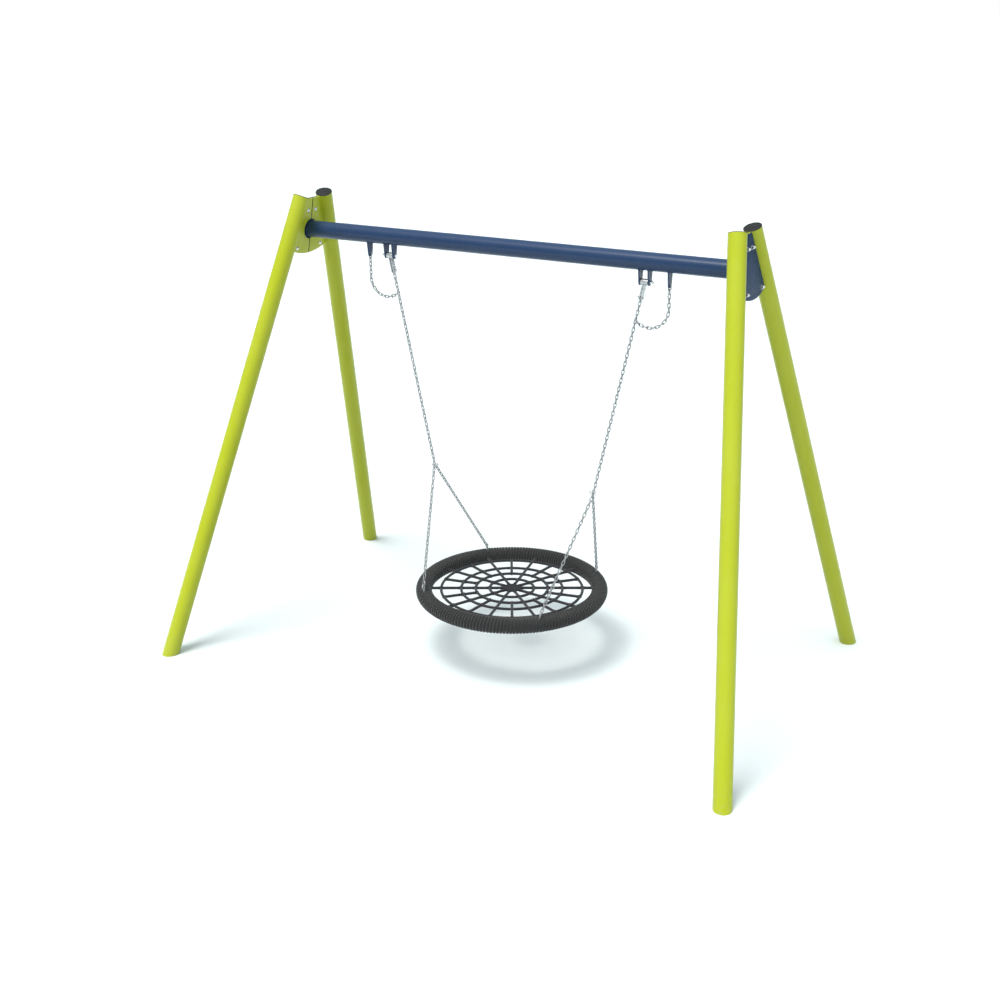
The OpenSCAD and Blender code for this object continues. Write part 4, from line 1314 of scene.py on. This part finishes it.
def winding_path(turns):
    """The rope's middle line. Turn t stands at the ring angle p that runs evenly from stem to
    stem, and at the tube angle q = 2 pi t; near a stem it is pushed aside by 1.35 of the
    stem's radius, fading as exp(-distance / 30 mm) and away from the top of the tube. The
    rope lies wider on the outside of the ring, where the turns spread."""
    q = 2 * pi * turns
    p = np.interp(turns, turn_starts, stem_ring)
    top = np.clip(np.cos(q - stem_round), 0.0, 1.0) ** 3
    for stem in stem_ring:
        x = (p - stem) * rim_r
        fade = np.exp(-np.abs(x) / push_fade)
        p = p + top * stem_r * np.tanh(x / push_onset) * fade / rim_r * push_share
    inwards = np.stack([np.cos(p), np.sin(p), 0 * p], -1)
    out = np.cos(q)[:, None] * inwards + np.sin(q)[:, None] * np.array([0.0, 0.0, 1.0])
    middle = rim_r * inwards + np.array([0.0, 0.0, rim_z])
    width = 1 + 1.15 * coil_r / rim_r * np.cos(q)
    return middle + coil_r * out, out, width


for k, side in enumerate(("right", "rear", "left", "front")):
    rows = turn_counts[k] * rows_a_turn + 1
    path, out, width = winding_path(np.linspace(turn_starts[k], turn_starts[k + 1], rows))
    rope = laid_rope(path, out, winding_r, width=width, filled=0.90)
    add_piece(f"rim_rope_{side}", [rope], rim_fibre, "seat", ("rim_winding",), 180.0)
core_sleeve = moulded(
    "core_sleeve", (0.0120, 0.0122, 0.0125), (0.0200, 0.0200, 0.0205), 500.0, 0.0002
)
dress(["rim_core"], core_sleeve)
dress(["rim_eyes"], sleeve_zinc)

# ---------------------------------------------------------------------------
# Net. Ten long ropes run from the hub into the rim and ten short ones lie between them, from
# the second ring rope to the fourth. The four ring ropes pass through their opened strands.
# All are the rim's kind of rope, and a rubber puck is moulded round the long ropes' ends.
# ---------------------------------------------------------------------------
net_r = 0.0090            # over the strands' crowns
net_core_r = 0.0070       # of the frame's plain ropes, whose boxes give the rings' sizes
ring_share = 0.97         # a ring rope's radius over a long rope's
furrows_filled = 0.86
branch_overlap = 0.011
opening_l = 0.011
hub_bury = 0.006
core_gap = 0.002
spoke_count = 10
spoke_turn = radians(29.0)
hub_lo, hub_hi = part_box("net_hub")
hub_r = (hub_hi[0] - hub_lo[0]) / 2
hub_h = (hub_hi[2] - hub_lo[2]) / 2
ring_rs = []
for number in (1, 2, 3, 4):
    ring_lo, ring_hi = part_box(f"net_ring_{number}")
    ring_rs.append((ring_hi[0] - ring_lo[0]) / 2 - net_core_r)
rope_step = 0.0048
net_fibre = rope_fibre("net_fibre", (0.0145, 0.0152, 0.0198), (0.0290, 0.0300, 0.0360), 30.0, 75.0)
upright = np.array([0.0, 0.0, 1.0])


def net_spoke(angle, from_r, to_r, crossings, end_swell=False):
    """A straight rope out from the middle. At each crossing its strands open: the section
    grows half as high again, as exp(-(distance / 11 mm)^2), round the ring rope."""
    count = int((to_r - from_r) / rope_step) + 1
    r = np.linspace(from_r, to_r, count)
    path = np.stack([r * cos(angle), r * sin(angle), np.full(count, rim_z)], -1)
    opened = sum(np.exp(-(((r - c) / opening_l) ** 2)) for c in crossings)
    width, height = 1 + 0.10 * opened, 1 + 0.46 * opened
    if end_swell:
        taper = np.sqrt(np.clip(np.minimum(r - from_r, to_r - r) / 0.008, 0.06, 1.0))
        width, height = width * taper, height * taper
    return laid_rope(
        path, np.tile(upright, (count, 1)), net_r, False, width, height, furrows_filled
    )


spoke_angles = [spoke_turn + i * 2 * pi / spoke_count for i in range(spoke_count)]
spoke_end = rim_r - core_r - core_gap
branch_from, branch_to = ring_rs[1] - branch_overlap, ring_rs[3] + branch_overlap
spokes, branches = [], []
for angle in spoke_angles:
    spokes.append(net_spoke(angle, hub_r - hub_bury, spoke_end, ring_rs))
    between = angle + pi / spoke_count
    branches.append(net_spoke(between, branch_from, branch_to, ring_rs[1:], end_swell=True))
add_piece("net_long_ropes", spokes, net_fibre, "seat", ("net_spokes",), 180.0)
add_piece("net_short_ropes", branches, net_fibre, "seat", ("net_branches",), 180.0)
for number, r in enumerate(ring_rs, 1):
    count = int(2 * pi * r / rope_step)
    a = np.arange(count) * 2 * pi / count + spoke_turn / 2
    path = np.stack([r * np.cos(a), r * np.sin(a), np.full(count, rim_z)], -1)
    out = np.tile(upright, (count, 1))
    ring = laid_rope(path, out, net_r * ring_share, True, filled=furrows_filled)
    node = f"net_ring_{number}"
    add_piece(f"net_hoop_{number}", [ring], net_fibre, "seat", (node,), 180.0)

# The puck: r = R(a) |cos b|^0.5 and z = h |sin b|^0.5, where R(a) swells towards each spoke,
# with a raised ring on both faces
hub_ring_r, hub_ring_w, hub_ring_h = 0.034, 0.0045, 0.0012
hub_waist, hub_lobe = 0.006, 0.009
collar_bury = 0.012
hub_rubber = moulded(
    "hub_rubber", (0.0150, 0.0157, 0.0190), (0.0270, 0.0280, 0.0310), 700.0, 0.0003, 0.3
)
a = np.arange(160)[None, :] * 2 * pi / 160
b = np.radians(np.linspace(86.0, -86.0, 25))[:, None]
swell = ((1 + np.cos(spoke_count * (a - spoke_turn))) / 2) ** 2.5
edge_r = hub_r - hub_waist + hub_lobe * swell
r = edge_r * np.abs(np.cos(b)) ** 0.5
z = (hub_h - hub_ring_h) * np.sign(b) * np.abs(np.sin(b)) ** 0.5
z = z + np.sign(b) * hub_ring_h * np.exp(-(((r - hub_ring_r) / hub_ring_w) ** 2))
puck = np.stack([r * np.cos(a), r * np.sin(a), rim_z + z + 0 * a], -1)
grids = [{"points": puck}]

# A tapered collar with a rounded mouth grips each spoke
collar_profile = np.concatenate(
    [
        [(0.0005, 0.0), (0.0102, 0.0), (0.0098, 0.020)],
        rounded((0.0076, 0.0245), 0.0016, 20.0, 90.0, 5),
        [(0.0005, 0.0262)],
    ]
)
for angle in spoke_angles:
    way = np.array([cos(angle), sin(angle), 0.0])
    at = (hub_r - collar_bury) * way + rim_z * upright
    collar = axes(at, np.cross(upright, way), upright, way)
    grids.append({"points": turned(collar_profile, collar, 20)})
add_piece("net_hub_puck", grids, hub_rubber, "seat", ("net_hub",), 60.0)
